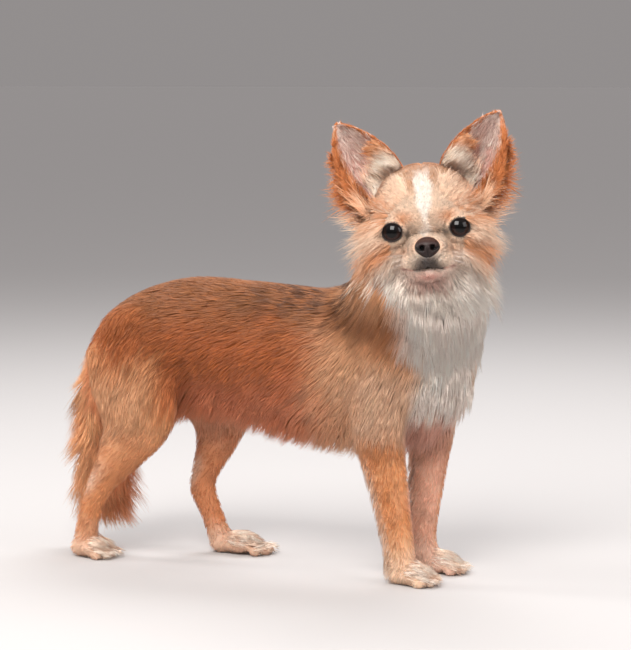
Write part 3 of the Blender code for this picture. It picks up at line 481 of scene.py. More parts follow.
def add_paw(bm, paw):
    place = paw_matrix(paw)
    add_ball(bm, Ball((0.0005, 0.0, 0.0080), (INSTEP_RADIUS, 0.0108, 0.0080)), PAW_COAT, place)
    instep = Ball((paw.reach * 0.30, 0.0, 0.0090), (paw.reach * 0.42, 0.0115, 0.0082))
    add_ball(bm, instep, PAW_COAT, place)
    for knuckle, tip in toe_places(paw):
        long_toe = (paw.reach * 0.30, TOE_RADIUS, TOE_RADIUS * 1.25)
        add_ball(bm, Ball(knuckle, long_toe), PAW_COAT, place)
        add_ball(bm, Ball(tip, (TOE_RADIUS * 1.25, TOE_RADIUS, TOE_RADIUS)), PAW_COAT, place)


def body_form():
    bm = bmesh.new()
    add_loft(bm, trunk_sections(), TRUNK_COAT, sides=32)
    add_loft(bm, NECK, TRUNK_COAT, sides=28)
    for leg in (FORELEG_RIGHT, FORELEG_LEFT, HINDLEG_RIGHT, HINDLEG_LEFT):
        add_loft(bm, leg, LEG_COAT)
    add_loft(bm, TAIL, 0.0)
    for mass in MASSES:
        add_ball(bm, mass, TRUNK_COAT)
    for paw in PAWS.values():
        add_paw(bm, paw)
    return fuse(bm, "body_form", BODY_VOXEL, 7)


def ear_point(side, s, t):
    """The middle sheet of the ear: s is -1 at the inner edge and 1 at the outer one, t runs to the tip."""
    s, t = np.broadcast_arrays(np.asarray(s, float), np.asarray(t, float))
    share = (s + 1) / 2
    inner, outer = read_path(EAR_INNER, t), read_path(EAR_OUTER, t)
    y, z = np.moveaxis(inner + (outer - inner) * share[..., None], -1, 0)
    cup, back = read_path(EAR_CUP, t)[..., 0], read_path(EAR_SET_BACK, t)[..., 0]
    x = back - cup * (1 - s * s) - 0.003 * share
    return transformed(head_matrix(), np.stack((x, y * side, z), -1))


def ear_normal(side, s, t):
    """The way that the inside of the cup looks."""
    step = 0.02
    s, t = np.clip(s, -0.96, 0.96), np.clip(t, 0.03, 0.97)
    across = ear_point(side, s + step, t) - ear_point(side, s - step, t)
    along = ear_point(side, s, t + step) - ear_point(side, s, t - step)
    return unit(np.cross(across, along)) * side


def add_ear(bm, side):
    """The ear as a closed shell with a rounded edge."""
    s_grid, t_grid = np.meshgrid(np.linspace(-1, 1, EAR_COLUMNS), np.linspace(0, 1, EAR_ROWS))
    middle = ear_point(side, s_grid, t_grid)
    out = ear_normal(side, s_grid, t_grid)
    edge = np.minimum(1 - np.abs(s_grid) ** 6, 1 - t_grid ** 12)
    half = (EAR_WALL / 2 * (0.35 + 0.65 * np.clip(edge, 0, 1)))[..., None]
    front, back = [[[bm.verts.new(spot) for spot in row] for row in middle + out * half * face]
                   for face in (1, -1)]
    for sheet in (front, back):
        for low, up in zip(sheet, sheet[1:]):
            join_rows(bm, low, up)
    join_rows(bm, front[0], back[0])
    join_rows(bm, front[-1], back[-1])
    for column in (0, -1):
        join_rows(bm, [row[column] for row in front], [row[column] for row in back])


def join_rows(bm, first, second):
    for a, b, c, d in zip(first, first[1:], second[1:], second):
        bm.faces.new((a, b, c, d))


def head_form():
    bm = bmesh.new()
    place = head_matrix()
    for ball in HEAD_MIDDLE:
        add_ball(bm, ball, HEAD_COAT, place)
    for ball in HEAD_SIDES:
        x, y, z = ball.centre
        for side in (1, -1):
            add_ball(bm, Ball((x, y * side, z), ball.radii), HEAD_COAT, place)
    for side in (1, -1):
        add_ball(bm, ORBIT, HEAD_COAT, eye_matrix(side))
        add_ear(bm, side)
    add_loft(bm, NECK[3:], TRUNK_COAT + 0.0006)
    return fuse(bm, "skin", HEAD_VOXEL, 8)


def lid_lean(turn):
    """Angle from the line of sight to the edge of the lids, going round the eye from its corner."""
    return LID_HIGH + (LID_WIDE - LID_HIGH) * np.cos(turn) ** 2


def lid_spread(side, points):
    """How far outside the lids' edge points are, as an angle, and how far from the eye's middle."""
    spots = transformed(eye_matrix(side).inverted(), points)
    reach = np.linalg.norm(spots, axis=1)
    lean = np.arccos(np.clip(spots[:, 0] / reach, -1, 1))
    return lean - lid_lean(np.arctan2(spots[:, 2], spots[:, 1])), reach, spots


def sculpt_sockets(points):
    """Sinks the skin behind the eyeball inside the lids, and lays it over the eyeball round them."""
    for side in (1, -1):
        spread, reach, spots = lid_spread(side, points)
        near = (reach < EYE_RADIUS + 0.0060) & (spread < LID_REACH)
        over = EYE_RADIUS + LID_SKIN[0] + (LID_SKIN[1] - LID_SKIN[0]) * ramp(spread, 0.0, LID_REACH)
        free = ramp(spread, 0.25 * LID_REACH, LID_REACH)
        laid = over * (1 - free) + np.maximum(reach, over) * free
        wanted = np.where(spread < 0.02, EYE_RADIUS - SOCKET_DEPTH, laid)
        spots[near] *= (wanted / reach)[near, None]
        points = np.where(near[:, None], transformed(eye_matrix(side), spots), points)
    return points


def mouth_turn(spots):
    return np.arctan2(spots[:, 1], spots[:, 0] - MOUTH_MIDDLE[0])


def mouth_height(turn):
    share = turn / MOUTH_TURN
    return MOUTH_MIDDLE[2] - MOUTH_DROP * share ** 2 + 0.0004 * np.cos(share * math.pi * 3)


def fold_share(spots):
    """1 along the creases that run from the inner corners of the eyes down beside the muzzle."""
    x, y, z = spots.T
    share = np.clip((z + 0.0030) / -0.0120, 0, 1)
    crease = bump(np.abs(y), 0.0125 - 0.0015 * share, 0.0011)
    return crease * ramp(z, 0.0015, -0.0020) * ramp(z, -0.0160, -0.0125) * (x > 0.015)


def nose_gap(spots, grown=0.0):
    """How far points are from the nose's middle, in shares of its radii, so that its outside is at 1."""
    return np.linalg.norm((spots - np.array(NOSE_PLACE)) / (np.array(NOSE_RADII) + grown), axis=1)


def carve_face(points):
    """The line of the mouth, the groove below the nose and the folds from the eyes to the muzzle."""
    spots = in_head(points)
    x, y, z = spots.T
    turn = mouth_turn(spots)
    ahead = (x > MOUTH_MIDDLE[0] - 0.004) & (np.abs(turn) < MOUTH_TURN)
    outward = np.stack((np.cos(turn), np.sin(turn), np.zeros_like(turn)), -1)
    line = bump(z, mouth_height(turn), 0.0008) * (1 - 0.6 * np.abs(turn / MOUTH_TURN) ** 3)
    line = line * ahead * ramp(np.abs(y), 0.0170, 0.0080)
    groove = bump(y, 0.0, 0.0006) * ramp(z, -0.0235, -0.0210) * ramp(z, -0.0150, -0.0170) * (x > 0.036)
    seat = ramp(nose_gap(spots), 1.0, 0.8)
    spots[:, 0] -= GROOVE_DEPTH * groove + FOLD_DEPTH * fold_share(spots) + NOSE_SEAT * seat
    spots -= outward * (line * MOUTH_DEPTH)[:, None]
    return transformed(head_matrix(), spots)


def make_skin():
    """One skin from the nose to the tail: a fine head, joined to a coarser body."""
    skin = head_form()
    move_points(skin, carve_face(sculpt_sockets(points_of(skin))))
    body = body_form()
    joined = skin.modifiers.new("join", "BOOLEAN")
    joined.operation = "UNION"
    joined.object = body
    joined.solver = "MANIFOLD"
    apply_modifiers(skin)
    bpy.data.objects.remove(body, do_unlink=True)
    return skin


# Where a point lies on the dog

LIMBS = {
    "trunk": trunk_sections(),
    "neck": NECK,
    "foreleg_right": FORELEG_RIGHT,
    "foreleg_left": FORELEG_LEFT,
    "hindleg_right": HINDLEG_RIGHT,
    "hindleg_left": HINDLEG_LEFT,
    "tail": TAIL,
}
LIMB_BLEND = 0.005      # how softly the coat passes from one limb to the next


class Limb:
    """How near points are to one limb, how far along it they are, and on which side of it."""

    def __init__(self, sections, points):
        rows = smooth_path(sections, 5)
        self.off = np.full(len(points), 9.0)
        nearest = np.zeros(len(points), int)
        for index, (x, y, z, wide, high) in enumerate(rows):
            gap = points - (x, y, z)
            size = np.linalg.norm(gap / (high, wide, high), axis=1)
            off = np.linalg.norm(gap, axis=1) * (1 - 1 / np.maximum(size, 0.05))
            closer = off < self.off
            self.off[closer] = off[closer]
            nearest[closer] = index
        self.along = nearest / (len(rows) - 1)
        self.out = points - rows[nearest, :3]
        ahead = np.minimum(nearest + 1, len(rows) - 1)
        behind = np.maximum(nearest - 1, 0)
        self.axis = unit(rows[ahead, :3] - rows[behind, :3])


class Places:
    """For many points at once: their limbs, and how much each limb counts."""

    def __init__(self, points, outward):
        self.points = points
        self.outward = outward
        self.limbs = {name: Limb(sections, points) for name, sections in LIMBS.items()}
        scores = np.stack([limb.off for limb in self.limbs.values()])
        shares = np.exp(-(scores - scores.min(0)) / LIMB_BLEND)
        shares /= shares.sum(0)
        self.shares = dict(zip(self.limbs, shares))
        point, normal = HEAD_PLANE
        self.head = (points - point) @ normal > 0.0
        self.fore = self.shares["foreleg_right"] + self.shares["foreleg_left"]
        self.hind = self.shares["hindleg_right"] + self.shares["hindleg_left"]
        self.legs = self.fore + self.hind
        self.bib = bib_share(points)
        self.behind = ramp(outward[:, 0], -0.25, -0.85)


class Skin:
    """The skin's triangles and a tree to find the nearest of them."""

    def __init__(self, obj):
        mesh = obj.data
        mesh.calc_loop_triangles()
        corners = np.empty(len(mesh.loop_triangles) * 3, np.int32)
        mesh.loop_triangles.foreach_get("vertices", corners)
        self.faces = corners.reshape(-1, 3)
        self.points = points_of(obj)
        self.vertex_normals = normals_of(obj)
        self.corners = self.points[self.faces]
        first, second, third = np.moveaxis(self.corners, 1, 0)
        cross = np.cross(second - first, third - first)
        self.area = np.linalg.norm(cross, axis=1) / 2
        self.middle = self.corners.mean(1)
        self.normal = unit(cross)
        self.tree = BVHTree.FromObject(obj, bpy.context.evaluated_depsgraph_get())

    def scatter(self, count, weight, draw):
        """Roots and outward directions, as dense as the weight of each triangle says."""
        chance = self.area * weight
        chosen = draw.choice(len(chance), size=count, p=chance / chance.sum())
        first, second = draw.random((2, count))
        over = first + second > 1
        first[over], second[over] = 1 - first[over], 1 - second[over]
        shares = np.stack((1 - first - second, first, second), -1)[..., None]
        roots = (self.corners[chosen] * shares).sum(1)
        outward = unit((self.vertex_normals[self.faces[chosen]] * shares).sum(1))
        return roots, outward

    def nearest(self, places):
        near = np.empty_like(places)
        outward = np.empty_like(places)
        find = self.tree.find_nearest
        for index, place in enumerate(places.tolist()):
            spot, normal, _, _ = find(place)
            near[index] = spot
            outward[index] = normal
        return near, outward

    def hits(self, starts, ways):
        """Roots where rays meet the skin, their outward directions, and which rays met it."""
        roots, outward, kept = [], [], []
        for index, (start, way) in enumerate(zip(starts.tolist(), ways.tolist())):
            spot, normal, _, _ = self.tree.ray_cast(start, way)
            if spot is not None:
                roots.append(spot)
                outward.append(normal)
                kept.append(index)
        return np.array(roots), np.array(outward), np.array(kept)


# Tufts

def comb(skin, roots, outward, flow, length, lift, draw, rise, hug, sway, steps, sag=0.0, sink=0.0008):
    """Paths of tufts over the skin: (tufts, steps + 1, 3).

    Flow is the way that the hair lies, rise how steeply it leaves the skin, lift how far its tip ends off the
    skin, hug how closely it follows the skin, sag how much it hangs, sway how much it bends at random, and
    sink how deep it is rooted."""
    count = len(roots)
    rise, sag, hug = (np.broadcast_to(value, count)[:, None] for value in (rise, sag, hug))
    bend = draw.normal(0, sway, (count, 3))
    flow = unit(flow - outward * dot(flow, outward)[:, None])
    along = unit(flow + outward * rise)
    place = roots - outward * sink
    stride = (length / steps)[:, None]
    paths = [place]
    for step in range(1, steps + 1):
        share = step / steps
        along = unit(along + np.array((0, 0, -1.0)) * sag * share + bend * share)
        moved = place + along * stride
        near, normal = skin.nearest(moved)
        short = (lift * share ** 0.8 - dot(moved - near, normal))[:, None]
        moved = moved + normal * short * np.where(short > 0, 1.0, hug)
        along = unit(moved - place)
        place = moved
        paths.append(place)
    return np.stack(paths, 1)


def clump(paths, draw, size, strength):
    """Draws the tips of neighbouring tufts together into locks of about that many tufts."""
    count = len(paths)
    guides = draw.choice(count, size=max(1, count // size), replace=False)
    tree = KDTree(len(guides))
    for index, spot in enumerate(paths[guides, 0].tolist()):
        tree.insert(spot, index)
    tree.balance()
    own = guides[np.array([tree.find(spot)[1] for spot in paths[:, 0].tolist()])]
    offset = paths[:, :1] - paths[own, :1]
    share = np.linspace(0, 1, paths.shape[1])[None, :, None] ** 1.4
    pull = share * np.reshape(strength, (-1, 1, 1))
    drawn = paths[own] + offset * 0.30
    return paths * (1 - pull) + drawn * pull, own


TAPER = {2: (0.75, 1.0), 3: (0.65, 1.0, 0.62)}    # a tuft's width at each ring, by its count of rings
RING = np.radians((90, 210, 330))
FLATNESS = 0.55         # a tuft's thickness over its width
PATCHY = 0.06           # how much tufts differ in brightness
PATCH = 0.003           # side of a tuft's patch on the unwrap


def tuft_faces(rings):
    faces = [(0, 1, 2)]
    for low in range(0, 3 * (rings - 1), 3):
        for a, b in ((0, 1), (1, 2), (2, 0)):
            faces += [(low + b, low + a, low + 3 + a), (low + b, low + 3 + a, low + 3 + b)]
    last = 3 * (rings - 1)
    faces += [(last + b, last + a, last + 3) for a, b in ((0, 1), (1, 2), (2, 0))]
    return np.array(faces)


def grow(name, paths, outward, half_width, colours, unwrap, draw, root=0.78, tip=1.08):
    """Closed three-sided tufts along the paths, in one object.

    Colours are one to a tuft. They are multiplied by root at the skin and by tip at the end: a painted shade
    towards the roots and a painted light towards the ends. Unwrap is each root's place on a flat map of the
    skin."""
    count, stations, _ = paths.shape
    rings = stations - 1
    tangents = unit(np.gradient(paths, axis=1))
    across = unit(np.cross(tangents, outward[:, None]))
    over = np.cross(across, tangents)
    roll = draw.normal(0, 0.35, (count, 1, 1))
    turned = across * np.cos(roll) + over * np.sin(roll)
    across, over = turned, over * np.cos(roll) - across * np.sin(roll)
    wide = half_width.reshape(-1, 1, 1, 1) * np.reshape(TAPER[rings], (1, -1, 1, 1))
    ring = (np.cos(RING)[:, None] * across[:, :rings, None]
            + np.sin(RING)[:, None] * over[:, :rings, None] * FLATNESS) * wide
    points = np.concatenate(((paths[:, :rings, None] + ring).reshape(count, -1, 3), paths[:, -1:]), 1)
    faces = tuft_faces(rings)
    offsets = np.arange(count)[:, None, None] * points.shape[1]
    obj = mesh_from_arrays(name, points.reshape(-1, 3), (faces + offsets).reshape(-1, 3))
    share = np.append(np.repeat(np.arange(rings), 3) / rings, 1.0)
    # Painted shade and light: each tuft darkens towards the skin, where the tufts shade each other, and
    # lightens towards its end.
    light = (root + (tip - root) * share ** 0.7)[:, None] * draw.normal(1.0, PATCHY, (count, 1, 1))
    set_tint(obj, (colours[:, None] * light).reshape(-1, 3))
    corner = np.append(np.tile(np.cos(RING), rings), 0.0) * PATCH / 2
    patch = np.stack((corner, (share - 0.5) * PATCH), -1)
    uv = np.clip(unwrap, PATCH, 1 - PATCH)[:, None] + patch
    layer = obj.data.uv_layers.new(name="OFBake")
    layer.data.foreach_set("uv", uv[:, faces.ravel()].astype(np.float32).ravel())
    return obj


def varied(half, count, draw):
    return half * draw.uniform(0.7, 1.3, count)


def round_unwrap(limb):
    """Round the limb, and down its length."""
    x, y, z = limb.out.T
    level = np.abs(limb.axis[:, 0]) > 0.75
    turn = np.where(level, np.arctan2(z, y), np.arctan2(y, x))
    return np.stack((turn / (2 * math.pi) + 0.5, limb.along), -1)


def head_unwrap(points):
    x, y, z = (in_head(points) - (0, 0, 0.005)).T
    turn = np.arctan2(y, x) / (2 * math.pi) + 0.5
    return np.stack((turn, np.arctan2(z, np.hypot(x, y)) / math.pi + 0.5), -1)


# Markings

def bib_share(points):
    """1 in the white of the throat and chest, whose middle follows the turned head."""
    x, y, z = (points + ripple(points, 0.020, 3) * 0.003).T
    turn = np.degrees(np.arctan2(y + 0.004, x - 0.100))
    middle = -14 - 10 * ramp(z, 0.150, 0.205)
    half = 34 + 4 * ramp(z, 0.150, 0.205) - 10 * bump(z, 0.158, 0.012)
    return ramp(np.abs(turn - middle), half + 9, half - 9) * ramp(z, 0.118, 0.132) * ramp(x, 0.095, 0.115)


def layered(colour, *coats):
    """Paints laid over a colour one after another, each by its share."""
    for paint, share in coats:
        colour = mix(colour, paint, share)
    return colour


def body_colour(places):
    outward = places.outward
    x, y, z = (places.points + ripple(places.points, 0.030, 5) * 0.004).T
    legs = places.legs
    side = ramp(x, -0.080, -0.050) * ramp(x, 0.085, 0.050) * ramp(z, 0.100, 0.130)
    flank = np.maximum(side, ramp(z, 0.140, 0.168) * ramp(x, 0.090, 0.060))
    belly = ramp(z, 0.155, 0.120) * ramp(x, -0.075, -0.040) * ramp(x, 0.110, 0.085) * (1 - legs)
    # Painted shade in the fold where the thigh meets the flank.
    fold_shade = bump(x - 0.35 * (z - 0.150), -0.070, 0.010) * bump(z, 0.150, 0.022)
    thigh = ramp(x, -0.060, -0.085) * ramp(z, 0.160, 0.130)
    shoulder = ramp(x, 0.035, 0.078) * ramp(z, 0.196, 0.162)
    elbow = ramp(x, 0.065, 0.100) * ramp(z, 0.168, 0.145) * ramp(z, 0.090, 0.110)
    inner = ramp(np.sign(y) * outward[:, 1], 0.15, -0.45) * legs
    bands = 0.5 + 0.5 * np.sin(z * 620 + ripple(places.points, 0.02, 14)[:, 0] * 2)
    forearm = places.fore * (1 - inner) * ramp(z, 0.02, 0.05) * ramp(z, 0.125, 0.090)
    shank = places.hind * ramp(z, 0.112, 0.070)
    hock = shank * bump(z, 0.062, 0.010) * ramp(outward[:, 0], 0.2, -0.5)
    # Painted shadow: an orange darkening on the right of the chest, below the head.
    painted_chest_shadow = bump(x, 0.118, 0.016) * bump(z, 0.176, 0.016) * (y < 0)
    hollow = ramp(z, 0.138, 0.124) * ramp(np.abs(y), 0.030, 0.018) * ramp(x, 0.090, 0.112)
    return layered(
        mix(GOLD, FLANK, flank),
        (BACK, ramp(z, 0.162, 0.194)),
        (RUST, 0.85 * belly),
        (BACK, 0.25 * fold_shade),
        (PALE, 0.75 * thigh),
        (PALE, 0.85 * shoulder),
        (CREAM, 0.38 * elbow),
        (BLUSH, 0.50 * inner),
        (ORANGE, forearm * (0.60 + 0.3 * bands)),
        (mix(ORANGE, FLANK, 0.55), 0.75 * shank),
        (CREAM, 0.50 * hock),
        (CREAM, 0.55 * places.fore * places.behind * ramp(z, 0.110, 0.075)),
        (CREAM, 0.50 * ramp(z, 0.030, 0.012)),
        (GOLD, 0.7 * places.shares["tail"]),
        (mix(GOLD, PALE, 0.5), 0.8 * places.shares["neck"] * ramp(z, 0.188, 0.215)),
        (ORANGE, 0.5 * painted_chest_shadow),
        (mix(WHITE, BLUSH, 0.12), places.bib),
        (BLUSH, 0.9 * hollow * (1 - 0.6 * legs)),
    )


def blaze_share(spots):
    """1 in the white stripe that runs down the forehead to the muzzle."""
    x, y, z = spots.T
    half = 0.0012 + 0.0032 * ramp(z, 0.008, 0.020)
    across = ramp(np.abs(y + 0.0006), half + 0.0018, half - 0.0018)
    return across * ramp(z, 0.042, 0.033) * ramp(x, -0.010, 0.0)


def eye_rim_colour(colour, points):
    """Dark lid margins, drawn out towards the nose."""
    x, y, z = in_head(points).T
    for side in (1, -1):
        spread, reach, _ = lid_spread(side, points)
        rim = ramp(spread, math.radians(10), math.radians(3)) * (reach < EYE_RADIUS + 0.004)
        corner = bump(y, side * 0.0143, 0.0026) * bump(z, -0.0002, 0.0030) * (x > 0.012)
        colour = mix(colour, DARK, np.maximum(0.9 * rim, 0.75 * corner))
    return colour


def head_colour(points):
    spots = in_head(points)
    noise = ripple(points, 0.012, 8)
    x, y, z = spots.T
    side = np.abs(y)
    ahead = (x > 0.0).astype(float)
    crown = ramp(z + noise[:, 0] * 0.002, 0.022, 0.037)
    # The orange brows: partly the coat's own colour and partly a painted shade of the fold above the upper
    # lids.
    brow_and_lid_shade = bump(side, 0.0140, 0.0060) * bump(z, 0.0095, 0.0042) * ahead
    cheek = bump(side, 0.0160, 0.008) * bump(z, -0.0115, 0.0035) * ahead
    low_cheek = ramp(z, -0.009, -0.018) * ramp(side, 0.009, 0.018) * ramp(x, -0.005, 0.010)
    muzzle = np.exp(-(side / 0.0125) ** 4 - ((z + 0.0095) / 0.0105) ** 4) * ramp(x, 0.026, 0.034)
    throat = ramp(z, -0.022, -0.032) * ramp(x, 0.024, 0.012)
    smoke = np.exp(-(y / 0.0106) ** 4 - ((z + 0.0194) / 0.0056) ** 4) * (x > 0.028)
    jaw = ramp(z, -0.0225, -0.0250) * ramp(z, -0.0345, -0.0315) * ramp(x, 0.010, 0.020)
    chin = np.exp(-(y / 0.0085) ** 2 - ((z + 0.0290) / 0.0032) ** 2) * (x > 0.016)
    lips = bump(z, mouth_height(mouth_turn(spots)), 0.0011) * (x > 0.020)
    colour = layered(
        mix(mix(PALE, CREAM, 0.75) * 0.80, mix(GOLD, PALE, 0.45) * 0.60, crown),
        (FLANK, 0.45 * ramp(z, 0.038, 0.046)),
        (mix(GOLD, PALE, 0.4), 0.85 * ramp(x, 0.002, -0.016)),
        (ORANGE, 0.65 * brow_and_lid_shade),
        (ORANGE, 0.35 * cheek),
        (mix(PALE, WHITE, 0.60), 0.80 * low_cheek),
        (CREAM, 0.9 * muzzle),
        (WHITE * 0.90, 0.85 * blaze_share(spots + noise * 0.0012)),
        (WHITE, 0.85 * throat),
        (SMOKE, (0.92 + 0.25 * np.minimum(noise[:, 1], 0)) * smoke),
        (mix(BACK, SMOKE, ramp(z, -0.008, -0.014)), 0.55 * ramp(nose_gap(spots), 1.30, 1.02)),
        (mix(mix(PALE, BLUSH, 0.5), WHITE, 0.60), 0.9 * jaw),
        (LIP, 0.75 * chin),
        (mix(DARK, LIP, ramp(side, 0.009, 0.012)), lips * (0.95 - 0.55 * ramp(side, 0.009, 0.013))),
        (LIP_CORNER, 0.6 * lips * bump(side, 0.0150, 0.0024)),
        # Painted shade in the creases from the eyes' inner corners down beside the muzzle.
        (STREAK, 0.35 * fold_share(spots)),
    )
    return eye_rim_colour(colour, points)


def ear_place(points):
    """1 on the ears, by how near the ear's middle sheet is, and the place on it."""
    s, t = np.meshgrid(np.linspace(-1, 1, 13), np.linspace(0.06, 1, 24))
    best = np.full(len(points), 9.0)
    place = np.zeros((len(points), 2))
    for side in (1, -1):
        sheet = ear_point(side, s, t).reshape(-1, 3)
        for spot, across, along in zip(sheet, s.ravel(), t.ravel()):
            gap = np.linalg.norm(points - spot, axis=1)
            closer = gap < best
            best[closer] = gap[closer]
            place[closer] = across, along
    return ramp(best, 0.0048, 0.0030), place


def ear_skin_colour(points, normals, place):
    """Skin of the ear: pink and grey inside with a painted shade where the cup is deepest, brown rims and
    back.
    """
    across, along = place.T
    left = in_head(points)[:, 1:2] > 0
    inside = dot(normals, np.where(left, ear_normal(1, across, along), ear_normal(-1, across, along))) > 0
    lining = mix(SKIN_PINK, SKIN_GREY, ramp(along, 0.2, 0.9))
    # Painted shade where the cup is deepest, near the ear's foot.
    lining = mix(lining, EAR_HOLLOW_SHADE, 0.5 * ramp(along, 0.28, 0.12) * ramp(across, -0.6, 0.0))
    edges = np.maximum(ramp(across, 0.55, 0.90), ramp(-across, 0.80, 0.97))
    rim = np.maximum(edges, ramp(along, 0.90, 0.98))
    return mix(mix(ORANGE, EAR_BROWN, rim), mix(lining, EAR_BROWN, rim), inside.astype(float))


def paint_skin(skin_object, places, ears, place):
    body = body_colour(places) * SKIN_SHADE
    colour = np.where(places.head[:, None], head_colour(places.points), body)
    set_tint(skin_object, mix(colour, ear_skin_colour(places.points, places.outward, place), ears))


# Coats

LOWEST_TUFT = 0.0016    # above the floor


def lay_coat(name, material, slot, paths, outward, half_width, colours, unwrap, draw, **looks):
    settle(grow(name, paths, outward, half_width, colours, unwrap, draw, **looks), material)


def trunk_flow(points):
    """Back along the spine, and more and more down the sides, over the rump and on the shoulder."""
    x, y, z = points.T
    down = ramp(z, 0.202, 0.130) * 0.85 + ramp(x, -0.085, -0.125) * 1.6 + ramp(x, 0.055, 0.100) * 1.2
    back = 1.0 - 0.65 * ramp(x, 0.060, 0.115)
    return np.stack((-back, np.sign(y) * 0.10, -0.08 - down), -1)


def body_flow(places):
    out = {name: unit(limb.out * (1, 1, 0)) for name, limb in places.limbs.items()}
    ways = {name: limb.axis + (-0.30, 0.0, 0.0) for name, limb in places.limbs.items()}
    ways["trunk"] = trunk_flow(places.points)
    back = np.array((-0.55, 0.0, 0.0)) * (1 - places.bib)[:, None]
    ways["neck"] = out["neck"] * 0.40 + back + (0.0, 0.0, -1.0)
    ways["tail"] = places.limbs["tail"].axis + out["tail"] * 0.6
    flow = sum(unit(way) * places.shares[name][:, None] for name, way in ways.items())
    return unit(flow) + ripple(places.points, 0.026, 21) * 0.10


def body_length(places):
    z = places.points[:, 2]
    belly = ramp(places.outward[:, 2], -0.35, -0.85) * places.shares["trunk"]
    length = 0.0175 + 0.004 * ramp(z, 0.175, 0.125) + 0.007 * belly
    length = length + 0.011 * places.shares["neck"] + 0.006 * places.bib
    low = ramp(z, 0.125, 0.080)
    fore = 0.0062 + 0.0090 * places.behind
    hind = 0.0058 + 0.0080 * places.behind * ramp(z, 0.070, 0.110)
    length = length * (1 - places.legs * low) + (fore * places.fore + hind * places.hind) * low
    return (length + 0.010 * places.shares["tail"]) * (1 - 0.35 * ramp(z, 0.022, 0.010) * places.legs)


def body_lift(places):
    lift = 0.0029 + 0.004 * places.shares["neck"] + 0.001 * places.bib
    low = places.legs * ramp(places.points[:, 2], 0.125, 0.080)
    return lift * (1 - low) + low * (0.0013 + 0.0030 * places.behind * places.fore)


def grow_body(skin, material, weight, name, count, slot, seed, region, half):
    """One piece of the body's coat, on the triangles of the skin that the weight picks."""
    draw = np.random.default_rng(seed)
    count = int(count * DENSITY)
    roots, outward = skin.scatter(count, weight, draw)
    places = Places(roots, outward)
    length = body_length(places) * draw.uniform(0.75, 1.15, count)
    x, _, z = roots.T
    feather = places.legs * places.behind * ramp(z, 0.03, 0.05)
    loose = np.clip(places.shares["neck"] + feather + places.bib, 0, 1)
    under = ramp(outward[:, 2], -0.35, -0.80) * places.shares["trunk"]
    flow = body_flow(places) + draw.normal(0, 0.055, (count, 3))
    hug = np.clip(1 - 0.75 * loose - 0.95 * under, 0, 1)
    paths = comb(skin, roots, outward, flow, length, body_lift(places), draw, rise=0.12 + 0.16 * loose,
                 hug=hug, sway=0.06, steps=2, sag=0.22 * loose + 0.9 * under)
    strength = 0.10 + 0.12 * (1 - places.legs) + (0.40 - 0.10 * places.bib) * np.maximum(loose, under)
    paths, own = clump(paths, draw, 14, strength)
    paths[:, :, 2] = np.maximum(paths[:, :, 2], LOWEST_TUFT)
    tone = draw.normal(1.0, 0.065, count)[own]
    withers = ramp(z, 0.172, 0.196) * ramp(x, -0.02, 0.04) * ramp(x, 0.100, 0.080)
    dark = 0.80 * withers * (tone < 1.0) + 0.12 * (tone < 0.92)
    colours = mix(body_colour(places), STREAK, dark * (1 - places.bib)) * tone[:, None]
    lay_coat(name, material, slot, paths, outward, varied(half, count, draw), colours,
             round_unwrap(places.limbs[region]), draw)


def face_flow(points):
    """Out from the nose over the muzzle, away from the eyes, back over the skull and down the cheeks."""
    spots = in_head(points)
    x, y, z = spots.T
    ones = np.ones_like(x)
    back = np.stack((-ones, np.sign(y) * 0.35, 0.15 * ones), -1)
    down = np.stack((-0.55 * ones, np.sign(y) * 0.55, -0.85 * ones), -1)
    under = np.stack((-0.8 * ones, y * 8, -0.6 * ones), -1)
    flow = mix(unit(spots - (0.046, 0.0, -0.010)), unit(back), ramp(x, 0.022, 0.0))
    flow = mix(flow, unit(down), ramp(z, 0.008, -0.012) * ramp(x, 0.020, 0.002))
    flow = mix(flow, unit(under), ramp(z, -0.023, -0.029))
    for side in (1, -1):
        gap = spots - np.array(EYE_PLACE) * (1, side, 1)
        reach = np.linalg.norm(gap, axis=1)
        flow = mix(flow, unit(gap + (-0.006, 0, 0)), ramp(reach, 0.0150, 0.0105))
    return head_way(flow)


def face_length(spots):
    x, _, z = spots.T
    length = 0.0026 + 0.0032 * ramp(x, 0.034, 0.016) + 0.0030 * ramp(x, 0.010, -0.015)
    length = length + 0.009 * ramp(x, 0.006, -0.012) * ramp(z, 0.012, -0.010)
    length = length * (1 - 0.55 * bump(z, -0.0245, 0.0030) * (x > 0.018))
    return length + 0.020 * ramp(z, -0.024, -0.033) * ramp(x, 0.026, 0.010)


def clear_of_eyes(paths):
    """Which tufts stay off the opening between the lids, seen from straight ahead of each eye."""
    points = paths.reshape(-1, 3)
    clear = np.ones(len(points), bool)
    for side in (1, -1):
        x, y, z = transformed(eye_matrix(side).inverted(), points).T
        clear &= (x < 0) | (np.hypot(y, z) > EYE_RADIUS * np.sin(lid_lean(np.arctan2(z, y))))
    return clear.reshape(paths.shape[:2]).all(1)


def lay_head_coat(name, material, paths, roots, outward, half, colours, draw, **looks):
    """A coat of the head, less the tufts that would cross the eyes."""
    clear = clear_of_eyes(paths)
    lay_coat(name, material, "cream_coat", paths[clear], outward[clear], varied(half, clear.sum(), draw),
             colours[clear], head_unwrap(roots[clear]), draw, root=0.84, **looks)


